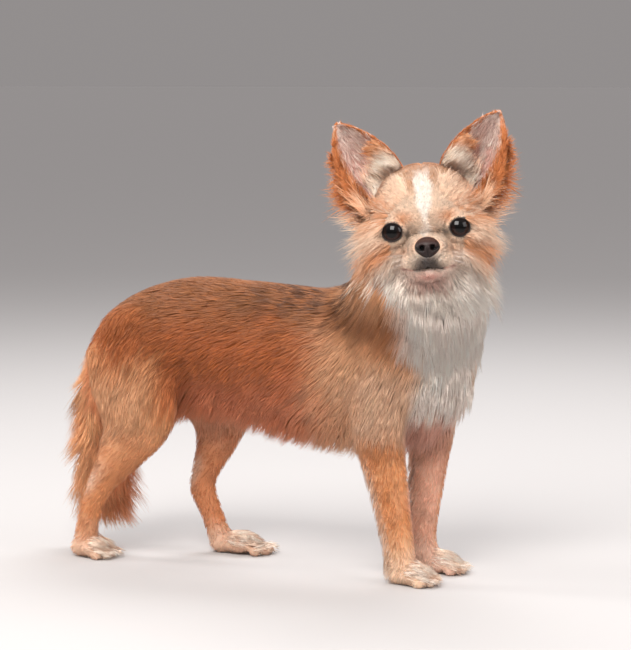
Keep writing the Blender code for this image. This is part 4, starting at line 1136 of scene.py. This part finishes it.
def grow_face(skin, material, weight, name, count, seed):
    draw = np.random.default_rng(seed)
    count = int(count * DENSITY)
    roots, outward = skin.scatter(count, weight, draw)
    spots = in_head(roots)
    x, _, z = spots.T
    length = face_length(spots) * draw.uniform(0.75, 1.2, count)
    for side in (1, -1):
        spread, reach, _ = lid_spread(side, roots)
        by_lids = 0.28 + 0.72 * ramp(spread, math.radians(3), math.radians(24))
        length *= np.where(reach < 0.016, by_lids, 1.0)
    throat = ramp(z, -0.021, -0.031) * (x < 0.026)
    loose = np.maximum(ramp(x, 0.004, -0.014) * ramp(z, 0.018, -0.008), throat)
    flow = face_flow(roots) + ripple(roots, 0.010, 31) * 0.14 + draw.normal(0, 0.10, (count, 3))
    lift = 0.0005 + length * (0.09 + 0.25 * loose)
    paths = comb(skin, roots, outward, flow, length, lift, draw, rise=0.24 + 0.3 * loose,
                 hug=1 - 0.8 * loose, sway=0.10, steps=2, sag=0.3 * loose, sink=0.0004)
    paths, own = clump(paths, draw, 8, 0.10 + 0.45 * loose)
    colours = head_colour(roots) * draw.normal(1.0, 0.075, count)[own][:, None]
    lay_head_coat(name, material, paths, roots, outward, 0.00024, colours, draw, tip=1.05)


# Hair of the ears: how many tufts, where they grow, across and along the ear, on which face, their way in the
# head's frame with its change across and along, their lengths at the foot and at the tip of the ear, how they
# stand, how strongly they clump, and their colours.
EarHair = namedtuple("EarHair", ("count", "across", "along", "face", "way", "by_across", "by_along", "length",
                                 "lift", "rise", "hug", "strength", "colour"))


def ear_lining(s, t, chance):
    return mix(mix(EAR_FLUFF, WHITE, 0.65 * chance), mix(ORANGE, PALE, chance), ramp(s, 0.60, 0.90))


def ear_rim(s, t, chance):
    return mix(EAR_BROWN, ORANGE, chance)


def ear_back(s, t, chance):
    return mix(mix(GOLD, ORANGE, 0.5), EAR_BROWN, ramp(np.abs(s), 0.5, 0.95) * chance)


def ear_fringe(s, t, chance):
    brown = mix(ORANGE, EAR_BROWN, chance * 0.8 * ramp(t, 0.1, 0.5))
    return mix(brown, mix(PALE, CREAM, 0.4), ramp(t + 0.15 * chance, 0.30, 0.10))


def ear_tuft(s, t, chance):
    return mix(mix(CREAM, WHITE, 0.7 * chance), mix(PALE, ORANGE, chance), ramp(t, 0.16, 0.36))


EAR_SHORT = (
    EarHair(1700, (-0.95, 0.90), (0.08, 0.97), 1, (0.12, 0.50, 0.90), (0.0, 0.45, -0.25), (0.0, 0.0, 0.0),
            (0.0150, 0.0070), 0.10, 0.25, 0.8, 0.35, ear_lining),
    EarHair(2000, (-0.98, 0.98), (0.05, 0.97), -1, (-0.10, 0.35, 1.00), (0.0, 0.25, 0.0), (0.0, 0.0, 0.0),
            (0.0085, 0.0045), 0.12, 0.25, 1.0, 0.30, ear_back),
    EarHair(1500, (0.68, 1.00), (0.05, 0.99), 1, (-0.05, 0.60, 0.75), (0.0, 0.0, 0.0), (0.0, -0.35, 0.20),
            (0.0080, 0.0042), 0.14, 0.25, 0.3, 0.40, ear_rim),
    EarHair(1000, (-1.00, -0.76), (0.40, 0.99), 1, (-0.05, -0.15, 0.95), (0.0, 0.0, 0.0), (0.0, 0.0, 0.0),
            (0.0075, 0.0035), 0.14, 0.20, 0.3, 0.40, ear_rim),
    EarHair(500, (-1.00, 1.00), (0.94, 1.00), 1, (-0.10, 0.20, 1.00), (0.0, 0.60, 0.0), (0.0, 0.0, 0.0),
            (0.0035, 0.0035), 0.10, 0.10, 0.3, 0.40, ear_rim),
)
EAR_LONG = (
    EarHair(1100, (0.80, 1.00), (0.00, 0.76), 1, (-0.15, 1.00, -0.45), (0.0, 0.0, 0.0), (0.0, 0.0, 1.10),
            (0.034, 0.009), 0.28, 0.35, 0.0, 0.55, ear_fringe),
    EarHair(700, (0.70, 1.00), (0.00, 0.66), -1, (-0.30, 0.90, -0.60), (0.0, 0.0, 0.0), (0.0, 0.0, 1.00),
            (0.034, 0.010), 0.25, 0.35, 0.0, 0.55, ear_fringe),
    EarHair(500, (0.50, 0.96), (0.04, 0.40), 1, (0.30, 0.45, -0.75), (0.0, 0.0, 0.0), (0.0, 0.0, 0.3),
            (0.014, 0.008), 0.30, 0.50, 0.0, 0.60, ear_rim),
    EarHair(1900, (-1.00, -0.40), (0.00, 0.46), 1, (0.40, 0.80, 0.60), (0.0, 0.20, 0.0), (0.0, -0.5, 0.6),
            (0.024, 0.010), 0.34, 0.60, 0.0, 0.40, ear_tuft),
    EarHair(900, (-0.80, 0.45), (0.00, 0.28), 1, (0.35, 0.60, 0.75), (0.0, 0.20, 0.0), (0.0, 0.0, 0.4),
            (0.014, 0.017), 0.30, 0.60, 0.0, 0.35, ear_tuft),
    EarHair(300, (-1.00, -0.88), (0.10, 0.50), 1, (0.15, -0.30, 0.95), (0.0, 0.0, 0.0), (0.0, 0.0, 0.0),
            (0.013, 0.007), 0.40, 0.60, 0.0, 0.75, ear_tuft),
)


def grow_ear(skin, material, side, name, kinds, half, seed):
    draw = np.random.default_rng(seed)
    parts = []
    for kind in kinds:
        count = int(kind.count * DENSITY)
        s, t = draw.uniform(*kind.across, count), draw.uniform(*kind.along, count)
        out = ear_normal(side, s, t) * kind.face
        roots = ear_point(side, s, t) + out * EAR_WALL * 0.35
        way = np.array(kind.way) + s[:, None] * kind.by_across + t[:, None] * kind.by_along
        way = head_way(way * (1, side, 1)) + draw.normal(0, 0.16, (count, 3))
        low, high = kind.length
        length = np.maximum(low + (high - low) * t / kind.along[1], 0.003) * draw.uniform(0.40, 1.25, count)
        paths = comb(skin, roots, out, way, length, kind.lift * length, draw, rise=kind.rise, hug=kind.hug,
                     sway=0.13, steps=2, sink=0.0002)
        paths, own = clump(paths, draw, 10, kind.strength)
        colours = kind.colour(s, t, draw.random(count)[own]) * draw.normal(1.0, 0.06, count)[own][:, None]
        unwrap = np.stack(((s + 1) * 0.24 + (0.5 if kind.face > 0 else 0.01), t), -1)
        parts.append((paths, out, colours, unwrap))
    paths, out, colours, unwrap = (np.concatenate(column) for column in zip(*parts))
    half = varied(half, len(paths), draw)
    lay_coat(name, material, "tan_coat", paths, out, half, colours, unwrap, draw, root=0.82)


# The long hair that frames the face, from the foot of the ear down to the throat. Each row has a root on
# the front of the skull, across and up, the way of the hair, ahead, outward and up, and its length.
RUFF = (
    (0.0130, 0.0350, 0.30, 0.45, 0.85, 0.017),
    (0.0265, 0.0190, 0.05, 0.90, 0.45, 0.018),
    (0.0325, 0.0050, -0.10, 0.98, -0.20, 0.031),
    (0.0325, -0.0080, -0.20, 0.85, -0.50, 0.029),
    (0.0260, -0.0200, -0.25, 0.50, -0.85, 0.030),
    (0.0090, -0.0275, -0.20, 0.10, -1.00, 0.032),
)


def ruff_colour(share, chance):
    band = 0.75 * bump(share, 0.28, 0.12) * (chance > 0.35)
    return layered(
        mix(mix(CREAM, PALE, 0.3), mix(ORANGE, GOLD, 0.4), band),
        (CREAM, ramp(share, 0.36, 0.46) * chance),
        (mix(ORANGE, GOLD, chance), 0.85 * bump(share, 0.64, 0.10)),
        (mix(CREAM, WHITE, chance), ramp(share, 0.68, 0.82)),
    )


def grow_ruff(skin, material, name, count, seed):
    """Long soft strands from the foot of each ear, the temples, the cheeks and the throat."""
    draw = np.random.default_rng(seed)
    count = int(count * DENSITY)
    share = draw.uniform(0, 1, count)
    side = np.where(draw.random(count) < 0.5, 1.0, -1.0)
    row = read_path(RUFF, share)
    inset = draw.uniform(0, 1, count)
    shrink = 1 - inset * (0.16 + 0.14 * bump(share, 0.60, 0.22) + 0.12 * ramp(share, 0.35, 0.10))
    from_side = (draw.random(count) < 0.5) & (share > 0.42) & (share < 0.86)
    across, up = row[:, 0] * side, row[:, 1]
    front = np.stack((np.full(count, 0.07), across * shrink, up * shrink), -1)
    beside = np.stack((draw.uniform(-0.018, 0.004, count), across * 1.7, up * 1.7), -1)
    to_middle = np.stack((np.zeros(count), -across, -up), -1)
    starts = np.where(from_side[:, None], beside, front)
    ways = np.where(from_side[:, None], unit(to_middle), (-1.0, 0.0, 0.0))
    roots, outward, kept = skin.hits(transformed(head_matrix(), starts), head_way(ways))

    ears, _ = ear_place(roots)
    ahead, _, height = in_head(roots).T
    in_row = np.abs(height - row[kept, 1]) < 0.010
    clear = (ears < 0.5) & in_row & ((share[kept] < 0.78) | (ahead < 0.010))
    roots, outward, kept = roots[clear], outward[clear], kept[clear]
    count, row, side, share = len(kept), row[kept], side[kept], share[kept]
    length = row[:, 5] * draw.uniform(0.5, 1.25, count) * (1 - 0.6 * inset[kept] * ~from_side[kept])
    flow = head_way(row[:, 2:5] * np.stack((np.ones(count), side, np.ones(count)), -1))
    flow = flow + draw.normal(0, 0.14, (count, 3))
    lift = length * (0.24 - 0.12 * ramp(share, 0.68, 0.85))
    paths = comb(skin, roots, outward, flow, length, lift, draw, rise=0.20 + 0.30 * ramp(share, 0.15, 0.45),
                 hug=0.0, sway=0.13, steps=3, sag=0.10)
    paths, own = clump(paths, draw, 14, 0.55)
    colours = ruff_colour(share, draw.random(count)[own]) * draw.normal(1, 0.06, count)[own][:, None]
    lay_head_coat(name, material, paths, roots, outward, 0.00020, colours, draw)


def grow_tail(skin, material, seed, count):
    """The plume: long tufts that hang from the tail and splay fore and aft."""
    draw = np.random.default_rng(seed)
    count = int(count * DENSITY)
    share = draw.uniform(0.14, 1.0, count) ** 0.9
    row = read_path(TAIL, share)
    axis = unit(read_path(TAIL, share + 0.02)[:, :3] - read_path(TAIL, share - 0.02)[:, :3])
    turn = draw.uniform(0, 2 * math.pi, count)
    out = np.stack((np.cos(turn) * row[:, 4], np.sin(turn) * row[:, 3], 0 * turn), -1)
    roots = row[:, :3] + out * 0.9
    outward = unit(out - axis * dot(out, axis)[:, None])
    fore = np.cos(turn)
    splay = 0.24 + draw.uniform(0.30, 0.95, count) * np.abs(fore) * ramp(share, 0.20, 0.60)
    flow = axis + outward * splay[:, None] * (1, 0.4, 1)
    length = 0.026 + 0.023 * ramp(share, 0.1, 0.60) - 0.013 * ramp(share, 0.80, 1.0)
    length = length * draw.uniform(0.65, 1.12, count)
    flow = flow + draw.normal(0, 0.07, (count, 3))
    paths = comb(skin, roots, outward, flow, length, length * 0.12, draw, rise=splay * 0.9, hug=0.0,
                 sway=0.09, steps=3, sag=0.12)
    paths, own = clump(paths, draw, 34, 0.60)
    paths[:, :, 2] = np.maximum(paths[:, :, 2], 0.0060 + 0.004 * draw.random((count, 1)))
    colours = mix(mix(GOLD, PALE, 0.3), mix(GOLD, RUST, 0.6), ramp(fore, -0.2, 0.7) * 0.8)
    tone = draw.normal(1.0, 0.08, count)[own]
    colours = mix(colours, STREAK, 0.3 * (tone < 0.91)) * tone[:, None]
    unwrap = np.stack((turn / (2 * math.pi), share), -1)
    half = varied(0.00028, count, draw)
    lay_coat("coat_tail", material, "tan_coat", paths, outward, half, colours, unwrap, draw)


def grow_toes(skin, material, seed, per_toe):
    """Tufts that lie forward over the toes and a little past them."""
    draw = np.random.default_rng(seed)
    starts, flow, flat = [], [], []
    for index, paw in enumerate(PAWS.values()):
        place = paw_matrix(paw)
        for knuckle, tip in toe_places(paw):
            for _ in range(int(per_toe * DENSITY)):
                spot = knuckle.lerp(tip, draw.uniform(-0.8, 1.0))
                spot = spot + Vector((0, draw.uniform(-1, 1) * TOE_RADIUS, 0.01))
                starts.append(place @ spot)
                flow.append(place.to_3x3() @ Vector((1.0, draw.uniform(-0.3, 0.3), -0.10)))
                flat.append((spot.x / PAW_SPAN + 0.3, (index + 0.5 + spot.y / PAW_SPAN) / len(PAWS)))
    starts, flow, flat = np.array(starts), np.array(flow), np.array(flat)
    roots, outward, kept = skin.hits(starts, np.tile((0.0, 0.0, -1.0), (len(starts), 1)))
    count = len(roots)
    length = draw.uniform(0.0080, 0.0150, count)
    paths = comb(skin, roots, outward, flow[kept], length, length * 0.20, draw, rise=0.3, hug=0.3,
                 sway=0.12, steps=2, sag=0.20)
    paths, own = clump(paths, draw, 12, 0.50)
    paths[:, :, 2] = np.maximum(paths[:, :, 2], 0.0012)
    chance = draw.random(count)[own]
    colours = mix(mix(PALE, WHITE, 0.35 + 0.5 * chance), BACK, 0.6 * (chance < 0.12))
    colours = colours * draw.normal(1, 0.06, count)[:, None]
    half = varied(0.00022, count, draw)
    unwrap = flat[kept]
    lay_coat("coat_toes", material, "cream_coat", paths, outward, half, colours, unwrap, draw, root=0.82)


# Hard parts

def make_eye(side, word, material):
    """The eyeball, its iris and pupil painted by the angle from the line of sight."""
    bm = bmesh.new()
    matrix = eye_matrix(side) @ Matrix.Rotation(math.pi / 2, 4, "Y")
    bmesh.ops.create_uvsphere(bm, u_segments=64, v_segments=48, radius=EYE_RADIUS, matrix=matrix)
    eye = object_from(bm, "eyeball_" + word)
    spots = transformed(eye_matrix(side).inverted(), points_of(eye))
    lean = np.degrees(np.arccos(np.clip(spots[:, 0] / EYE_RADIUS, -1, 1)))
    iris = mix(srgb(14, 8, 7), srgb(40, 20, 14), ramp(spots[:, 2], 0.003, -0.005))
    colour = mix(iris, srgb(4, 3, 3), ramp(lean, 26, 21))
    set_tint(eye, mix(colour, srgb(12, 7, 6), ramp(lean, 36, 42)))
    return settle(eye, material, ["eye_" + word])


# Section of the lids' margin: how far outside the opening, in shares of LID_REACH, and how far off the
# eyeball.
LID_MARGIN = ((-0.03, -0.0006), (-0.06, 0.0001), (-0.05, 0.0004), (0.00, 0.0006), (0.05, 0.0007),
              (0.10, 0.0005), (0.13, -0.0001), (0.08, -0.0008))


def make_lids(side, word, material):
    """Dark lid margins as a smooth ring over the edge of the skin."""
    bm = bmesh.new()
    place = eye_matrix(side)
    steps = 56
    rings = []
    for share, rise in LID_MARGIN:
        ring = []
        for step in range(steps):
            turn = 2 * math.pi * step / steps
            lean = float(lid_lean(turn)) + share * LID_REACH
            across = math.sin(lean)
            spot = Vector((math.cos(lean), across * math.cos(turn), across * math.sin(turn)))
            ring.append(bm.verts.new(place @ (spot * (EYE_RADIUS + rise))))
        rings.append(ring)
    bridge(bm, rings + rings[:1])
    bmesh.ops.recalc_face_normals(bm, faces=bm.faces[:])
    lids = object_from(bm, "lids_" + word)
    shares = np.repeat([share for share, _ in LID_MARGIN], steps)
    set_tint(lids, mix(DARK, srgb(84, 56, 44), ramp(shares, 0.05, 0.13)))
    return settle(lids, material)


def make_nose(material):
    """The nose leather: two comma nostrils, the groove between them and flared wings."""
    bm = bmesh.new()
    bmesh.ops.create_uvsphere(bm, u_segments=96, v_segments=72, radius=1.0)
    nose = object_from(bm, "nose_leather")
    way = points_of(nose)
    x, _, z = way.T
    flat_top = 1 - 0.10 * ramp(z, 0.55, 0.95) * ramp(x, -0.2, 0.4)
    spots = way * np.array(NOSE_RADII) * flat_top[:, None]
    spots[:, 1] *= 1 - 0.28 * ramp(z, 0.0, -0.95)
    side, high = np.abs(spots[:, 1]), spots[:, 2]
    front = ramp(x, 0.0, 0.4)
    hole = np.exp(-((side - 0.0034) / 0.0014) ** 4 - ((high - 0.0008) / 0.0016) ** 4)
    slit = np.exp(-((side - 0.0055) / 0.0022) ** 4 - ((high + 0.0008 - (side - 0.004) * 0.5) / 0.0007) ** 4)
    groove = bump(spots[:, 1], 0.0, 0.00035) * ramp(high, 0.0015, -0.0010)
    wing = bump(side, 0.0062, 0.0018) * bump(high, 0.0030, 0.0020)
    pebbles = ripple(spots, 0.0009, 41)[:, 0] * 0.00004
    spots[:, 0] -= (0.0042 * np.maximum(hole, 0.4 * slit) + 0.0006 * groove - 0.0004 * wing) * front
    spots += way * pebbles[:, None]
    shade = np.clip(1.2 * hole + slit + 0.5 * groove, 0, 1) * front
    colour = mix(srgb(34, 19, 17), srgb(56, 33, 29), ramp(z, 0.1, 0.8))
    set_tint(nose, mix(colour, srgb(6, 4, 4), shade))
    move_points(nose, transformed(head_matrix() @ Matrix.Translation(NOSE_PLACE), spots))
    return settle(nose, material, ["nose"])


def spikes(name, starts, ways, lengths, radius, bend, sides=5, rings=5):
    """Closed curved cones: whiskers and claws."""
    bm = bmesh.new()
    for start, way, length in zip(starts, ways, lengths):
        way = Vector(way).normalized()
        across = way.orthogonal().normalized()
        over = way.cross(across)
        spot = Vector(start)
        loops = []
        for step in range(rings):
            size = radius * (1 - step / rings) ** 0.8
            loops.append([bm.verts.new(spot + (across * math.cos(a) + over * math.sin(a)) * size)
                          for a in (2 * math.pi * side / sides for side in range(sides))])
            spot = spot + way * (length / rings)
            way = (way + Vector(bend)).normalized()
        tip = bm.verts.new(spot)
        bridge(bm, loops)
        bm.faces.new(reversed(loops[0]))
        for a, b in zip(loops[-1], loops[-1][1:] + loops[-1][:1]):
            bm.faces.new((a, b, tip))
    bmesh.ops.recalc_face_normals(bm, faces=bm.faces[:])
    return object_from(bm, name)


def make_whiskers(skin, material):
    draw = np.random.default_rng(SEED + 90)
    starts, ways, lengths = [], [], []
    for side in (1, -1):
        for row in range(3):
            for column in range(3):
                spot = np.array((0.0330 - 0.0030 * column, side * 0.03, -0.0135 - 0.0028 * row))
                spot, inward = transformed(head_matrix(), spot), head_way((0.0, -side, 0.0))
                roots, _, _ = skin.hits(spot[None], inward[None])
                starts.append(roots[0])
                way = (-0.25 + draw.normal(0, 0.1), side, -0.10 - 0.15 * row + draw.normal(0, 0.08))
                ways.append(head_way(way))
                lengths.append(draw.uniform(0.014, 0.024))
    whiskers = spikes("whiskers", starts, ways, lengths, 0.00009, (0, 0, -0.05))
    set_tint(whiskers, np.tile(srgb(222, 206, 196), (len(whiskers.data.vertices), 1)))
    return settle(whiskers, material)


def make_claws(material):
    starts, ways, lengths = [], [], []
    for paw in PAWS.values():
        place = paw_matrix(paw)
        for _, tip in toe_places(paw):
            starts.append(place @ (tip + Vector((TOE_RADIUS * 0.6, 0, 0.0))))
            ways.append(place.to_3x3() @ Vector((1.0, 0.0, -0.20)))
            lengths.append(0.0038)
    claws = spikes("claws", starts, ways, lengths, 0.0008, (0, 0, -0.22), sides=10, rings=8)
    heights = points_of(claws)[:, 2]
    set_tint(claws, mix(srgb(96, 78, 66), srgb(170, 146, 126), ramp(heights, 0.0015, 0.0045)))
    return settle(claws, material)


# Materials

Bumps = namedtuple("Bumps", "texture output detail scale strength depth")
Look = namedtuple("Look", "roughness specular grain_scale grain bumps more")


def noise_bumps(scale, strength, depth):
    return Bumps("ShaderNodeTexNoise", "Fac", 5.0, scale, strength, depth)


LEATHER_CELLS = Bumps("ShaderNodeTexVoronoi", "Distance", 0.0, 1500, 0.45, 0.0002)
LOOKS = {
    "fur": Look(0.48, 0.28, 900, 0.10, None, {"Sheen Weight": 0.05, "Sheen Roughness": 0.5}),
    "skin": Look(0.62, 0.30, 500, 0.10, noise_bumps(1400, 0.35, 0.0004),
                 {"Subsurface Weight": 0.10, "Subsurface Scale": 0.002}),
    "nose_leather": Look(0.42, 0.27, 1200, 0.15, LEATHER_CELLS, {"Coat Weight": 0.15, "Coat Roughness": 0.30}),
    "eye": Look(0.05, 0.26, 700, 0.25, None, {}),
    "horn": Look(0.35, 0.40, 600, 0.15, noise_bumps(900, 0.2, 0.0002), {}),
    "lid": Look(0.50, 0.30, 900, 0.10, noise_bumps(1500, 0.25, 0.0002), {}),
}


def make_material(name):
    """A Principled material whose base colour is the painted tint, with fine grain in it."""
    look = LOOKS[name]
    made = bpy.data.materials.new(name)
    made.use_nodes = True
    nodes, links = made.node_tree.nodes, made.node_tree.links
    shader = nodes["Principled BSDF"]
    shader.inputs["Roughness"].default_value = look.roughness
    shader.inputs["Specular IOR Level"].default_value = look.specular
    for socket, value in look.more.items():
        shader.inputs[socket].default_value = value
    add_grain(nodes, links, shader, look.grain_scale, look.grain)
    if look.bumps:
        add_bumps(nodes, links, shader, look.bumps)
    return made


def add_grain(nodes, links, shader, scale, grain):
    """The tint, lightened and darkened a little by fine noise."""
    tint = nodes.new("ShaderNodeAttribute")
    tint.attribute_name = "tint"
    noise = nodes.new("ShaderNodeTexNoise")
    noise.inputs["Scale"].default_value = scale
    noise.inputs["Detail"].default_value = 4.0
    spread = nodes.new("ShaderNodeMapRange")
    spread.inputs["To Min"].default_value = 1 - grain
    spread.inputs["To Max"].default_value = 1 + grain
    product = nodes.new("ShaderNodeMix")
    product.data_type = "RGBA"
    product.blend_type = "MULTIPLY"
    product.inputs["Factor"].default_value = 1.0
    links.new(noise.outputs["Fac"], spread.inputs["Value"])
    links.new(tint.outputs["Color"], product.inputs["A"])
    links.new(spread.outputs["Result"], product.inputs["B"])
    links.new(product.outputs["Result"], shader.inputs["Base Color"])


def add_bumps(nodes, links, shader, bumps):
    texture = nodes.new(bumps.texture)
    texture.inputs["Scale"].default_value = bumps.scale
    texture.inputs["Detail"].default_value = bumps.detail
    raised = nodes.new("ShaderNodeBump")
    raised.inputs["Strength"].default_value = bumps.strength
    raised.inputs["Distance"].default_value = bumps.depth
    links.new(texture.outputs[bumps.output], raised.inputs["Height"])
    links.new(raised.outputs["Normal"], shader.inputs["Normal"])


# Stage

def make_floor():
    bm = bmesh.new()
    bmesh.ops.create_grid(bm, x_segments=1, y_segments=1, size=60.0)
    floor = object_from(bm, "floor")
    made = bpy.data.materials.new("pale_floor")
    made.use_nodes = True
    shader = made.node_tree.nodes["Principled BSDF"]
    shader.inputs["Base Color"].default_value = (0.50, 0.483, 0.479, 1.0)
    shader.inputs["Roughness"].default_value = 0.9
    floor.data.materials.append(made)


def area_light(name, around, high, away, size, power, colour=(1.0, 1.0, 1.0)):
    """A soft box aimed at the head and chest, by degrees right of the camera, degrees up and metres off."""
    data = bpy.data.lights.new(name, "AREA")
    data.shape = "RECTANGLE"
    data.size, data.size_y = size
    data.energy = power
    data.color = colour
    light = bpy.data.objects.new(name, data)
    turn, tilt = VIEW_TURN + math.radians(around), math.radians(high)
    level = Vector((math.sin(turn), -math.cos(turn), 0.0))
    place = LIT_PLACE + (level * math.cos(tilt) + Vector((0, 0, math.sin(tilt)))) * away
    light.location = place
    light.rotation_euler = (LIT_PLACE - place).to_track_quat("-Z", "Y").to_euler()
    bpy.context.scene.collection.objects.link(light)


LIT_PLACE = Vector((0.08, -0.02, 0.20))

# Light of the studio's air, which meets the far floor without an edge.
HORIZON = (0.290, 0.272, 0.270, 1.0)
ZENITH = (0.60, 0.58, 0.58, 1.0)


def make_lights():
    area_light("key", -18, 42, 1.9, (1.0, 1.0), 44, (1.0, 0.98, 0.95))
    area_light("side", -105, 14, 1.4, (0.25, 1.1), 9, (1.0, 0.98, 0.96))
    area_light("fill", 60, 25, 1.8, (1.0, 1.0), 12, (1.0, 0.96, 0.95))
    area_light("rim", 170, 50, 1.6, (1.2, 0.8), 18)


def make_air():
    """A world that brightens from the horizon up."""
    world = bpy.data.worlds.new("studio")
    world.use_nodes = True
    nodes, links = world.node_tree.nodes, world.node_tree.links
    way = nodes.new("ShaderNodeTexCoord")
    parts = nodes.new("ShaderNodeSeparateXYZ")
    height = nodes.new("ShaderNodeMapRange")
    height.inputs["From Min"].default_value = 0.05
    height.inputs["From Max"].default_value = 0.60
    sky = nodes.new("ShaderNodeMix")
    sky.data_type = "RGBA"
    sky.inputs["A"].default_value = HORIZON
    sky.inputs["B"].default_value = ZENITH
    links.new(way.outputs["Generated"], parts.inputs["Vector"])
    links.new(parts.outputs["Z"], height.inputs["Value"])
    links.new(height.outputs["Result"], sky.inputs["Factor"])
    links.new(sky.outputs["Result"], nodes["Background"].inputs["Color"])
    bpy.context.scene.world = world
    bpy.context.scene.view_settings.view_transform = "Standard"


def make_camera():
    data = bpy.data.cameras.new("camera")
    data.sensor_width = SENSOR
    data.lens = SENSOR * FOCAL_PIXELS / PHOTO_LONG_SIDE
    data.shift_x = -PHOTO_SLIDE / PHOTO_LONG_SIDE
    data.clip_start = 0.05
    camera = bpy.data.objects.new("camera", data)
    bpy.context.scene.collection.objects.link(camera)
    across = Vector((math.cos(VIEW_TURN), math.sin(VIEW_TURN), 0.0))
    level = Vector((-math.sin(VIEW_TURN), math.cos(VIEW_TURN), 0.0))
    ahead = level * math.cos(VIEW_TILT) + Vector((0, 0, -math.sin(VIEW_TILT)))
    up = across.cross(ahead)
    turn = Matrix((across, up, -ahead)).transposed().to_4x4()
    camera.matrix_world = Matrix.Translation(CAMERA_PLACE + SHIFT) @ turn
    bpy.context.scene.camera = camera


FLESH = ("torso", "neck", "head", "ear_left", "ear_right", "tail", "foreleg_left", "foreleg_right",
         "hindleg_left", "hindleg_right", *PAWS)


def bare_share(points):
    """1 where the head has no fur: inside the lids and under the nose leather, and along the lips."""
    spots = in_head(points)
    bare = (nose_gap(spots, 0.0004) < 1).astype(float)
    for side in (1, -1):
        spread, reach, _ = lid_spread(side, points)
        bare = np.maximum(bare, (spread < math.radians(3)) & (reach < EYE_RADIUS + 0.003))
    lips = bump(spots[:, 2], mouth_height(mouth_turn(spots)), 0.0010) * (spots[:, 0] > 0.022)
    return np.maximum(bare, 0.85 * lips)


# Parts of the body's coat on each side: how many tufts, the material slot and half of a tuft's width.
BODY_COATS = (
    ("trunk", 15000, "tan_coat", 0.00026),
    ("neck", 8600, "cream_coat", 0.00026),
    ("foreleg", 5300, "tan_coat", 0.00021),
    ("hindleg", 5300, "tan_coat", 0.00021),
)


def grow_coat(skin, fur):
    middles = Places(skin.middle, skin.normal)
    ears, _ = ear_place(skin.middle)
    furred = middles.head * (ears < 0.5) * (1 - bare_share(skin.middle))
    front = in_head(skin.middle)[:, 0] > 0.004
    left = in_head(skin.middle)[:, 1] > 0
    grow_face(skin, fur, furred * front * left, "coat_face_left", 14200, SEED + 1)
    grow_face(skin, fur, furred * front * ~left, "coat_face_right", 14200, SEED + 5)
    grow_face(skin, fur, furred * ~front, "coat_crown", 9000, SEED + 2)
    for side, word in ((1, "left"), (-1, "right")):
        grow_ear(skin, fur, side, "coat_ear_" + word, EAR_SHORT, 0.00017, SEED + 3 + side)
        grow_ear(skin, fur, side, "coat_fringe_" + word, EAR_LONG, 0.00023, SEED + 7 + side)
    grow_ruff(skin, fur, "coat_ruff", 7000, SEED + 9)

    right = skin.middle[:, 1] < 0
    for word, half, start in (("right", right, SEED + 10), ("left", ~right, SEED + 20)):
        for index, (part, count, slot, wide) in enumerate(BODY_COATS):
            whole = part in middles.shares
            region = part if whole else f"{part}_{word}"
            weight = middles.shares[region] * ~middles.head * (half if whole else 1)
            grow_body(skin, fur, weight, f"coat_{part}_{word}", count, slot, start + index, region, wide)
    grow_tail(skin, fur, SEED + 30, 6900)
    grow_toes(skin, fur, SEED + 31, 240)


def build():
    make_camera()
    skin_object = make_skin()
    skin = Skin(skin_object)
    ears, place = ear_place(skin.points)
    paint_skin(skin_object, Places(skin.points, skin.vertex_normals), ears, place)
    grow_coat(skin, make_material("fur"))
    settle(skin_object, make_material("skin"), FLESH)
    eye, lid, horn = (make_material(name) for name in ("eye", "lid", "horn"))
    for side, word in ((1, "left"), (-1, "right")):
        make_eye(side, word, eye)
        make_lids(side, word, lid)
    make_nose(make_material("nose_leather"))
    make_whiskers(skin, horn)
    make_claws(horn)
    make_floor()
    make_lights()
    make_air()


build()
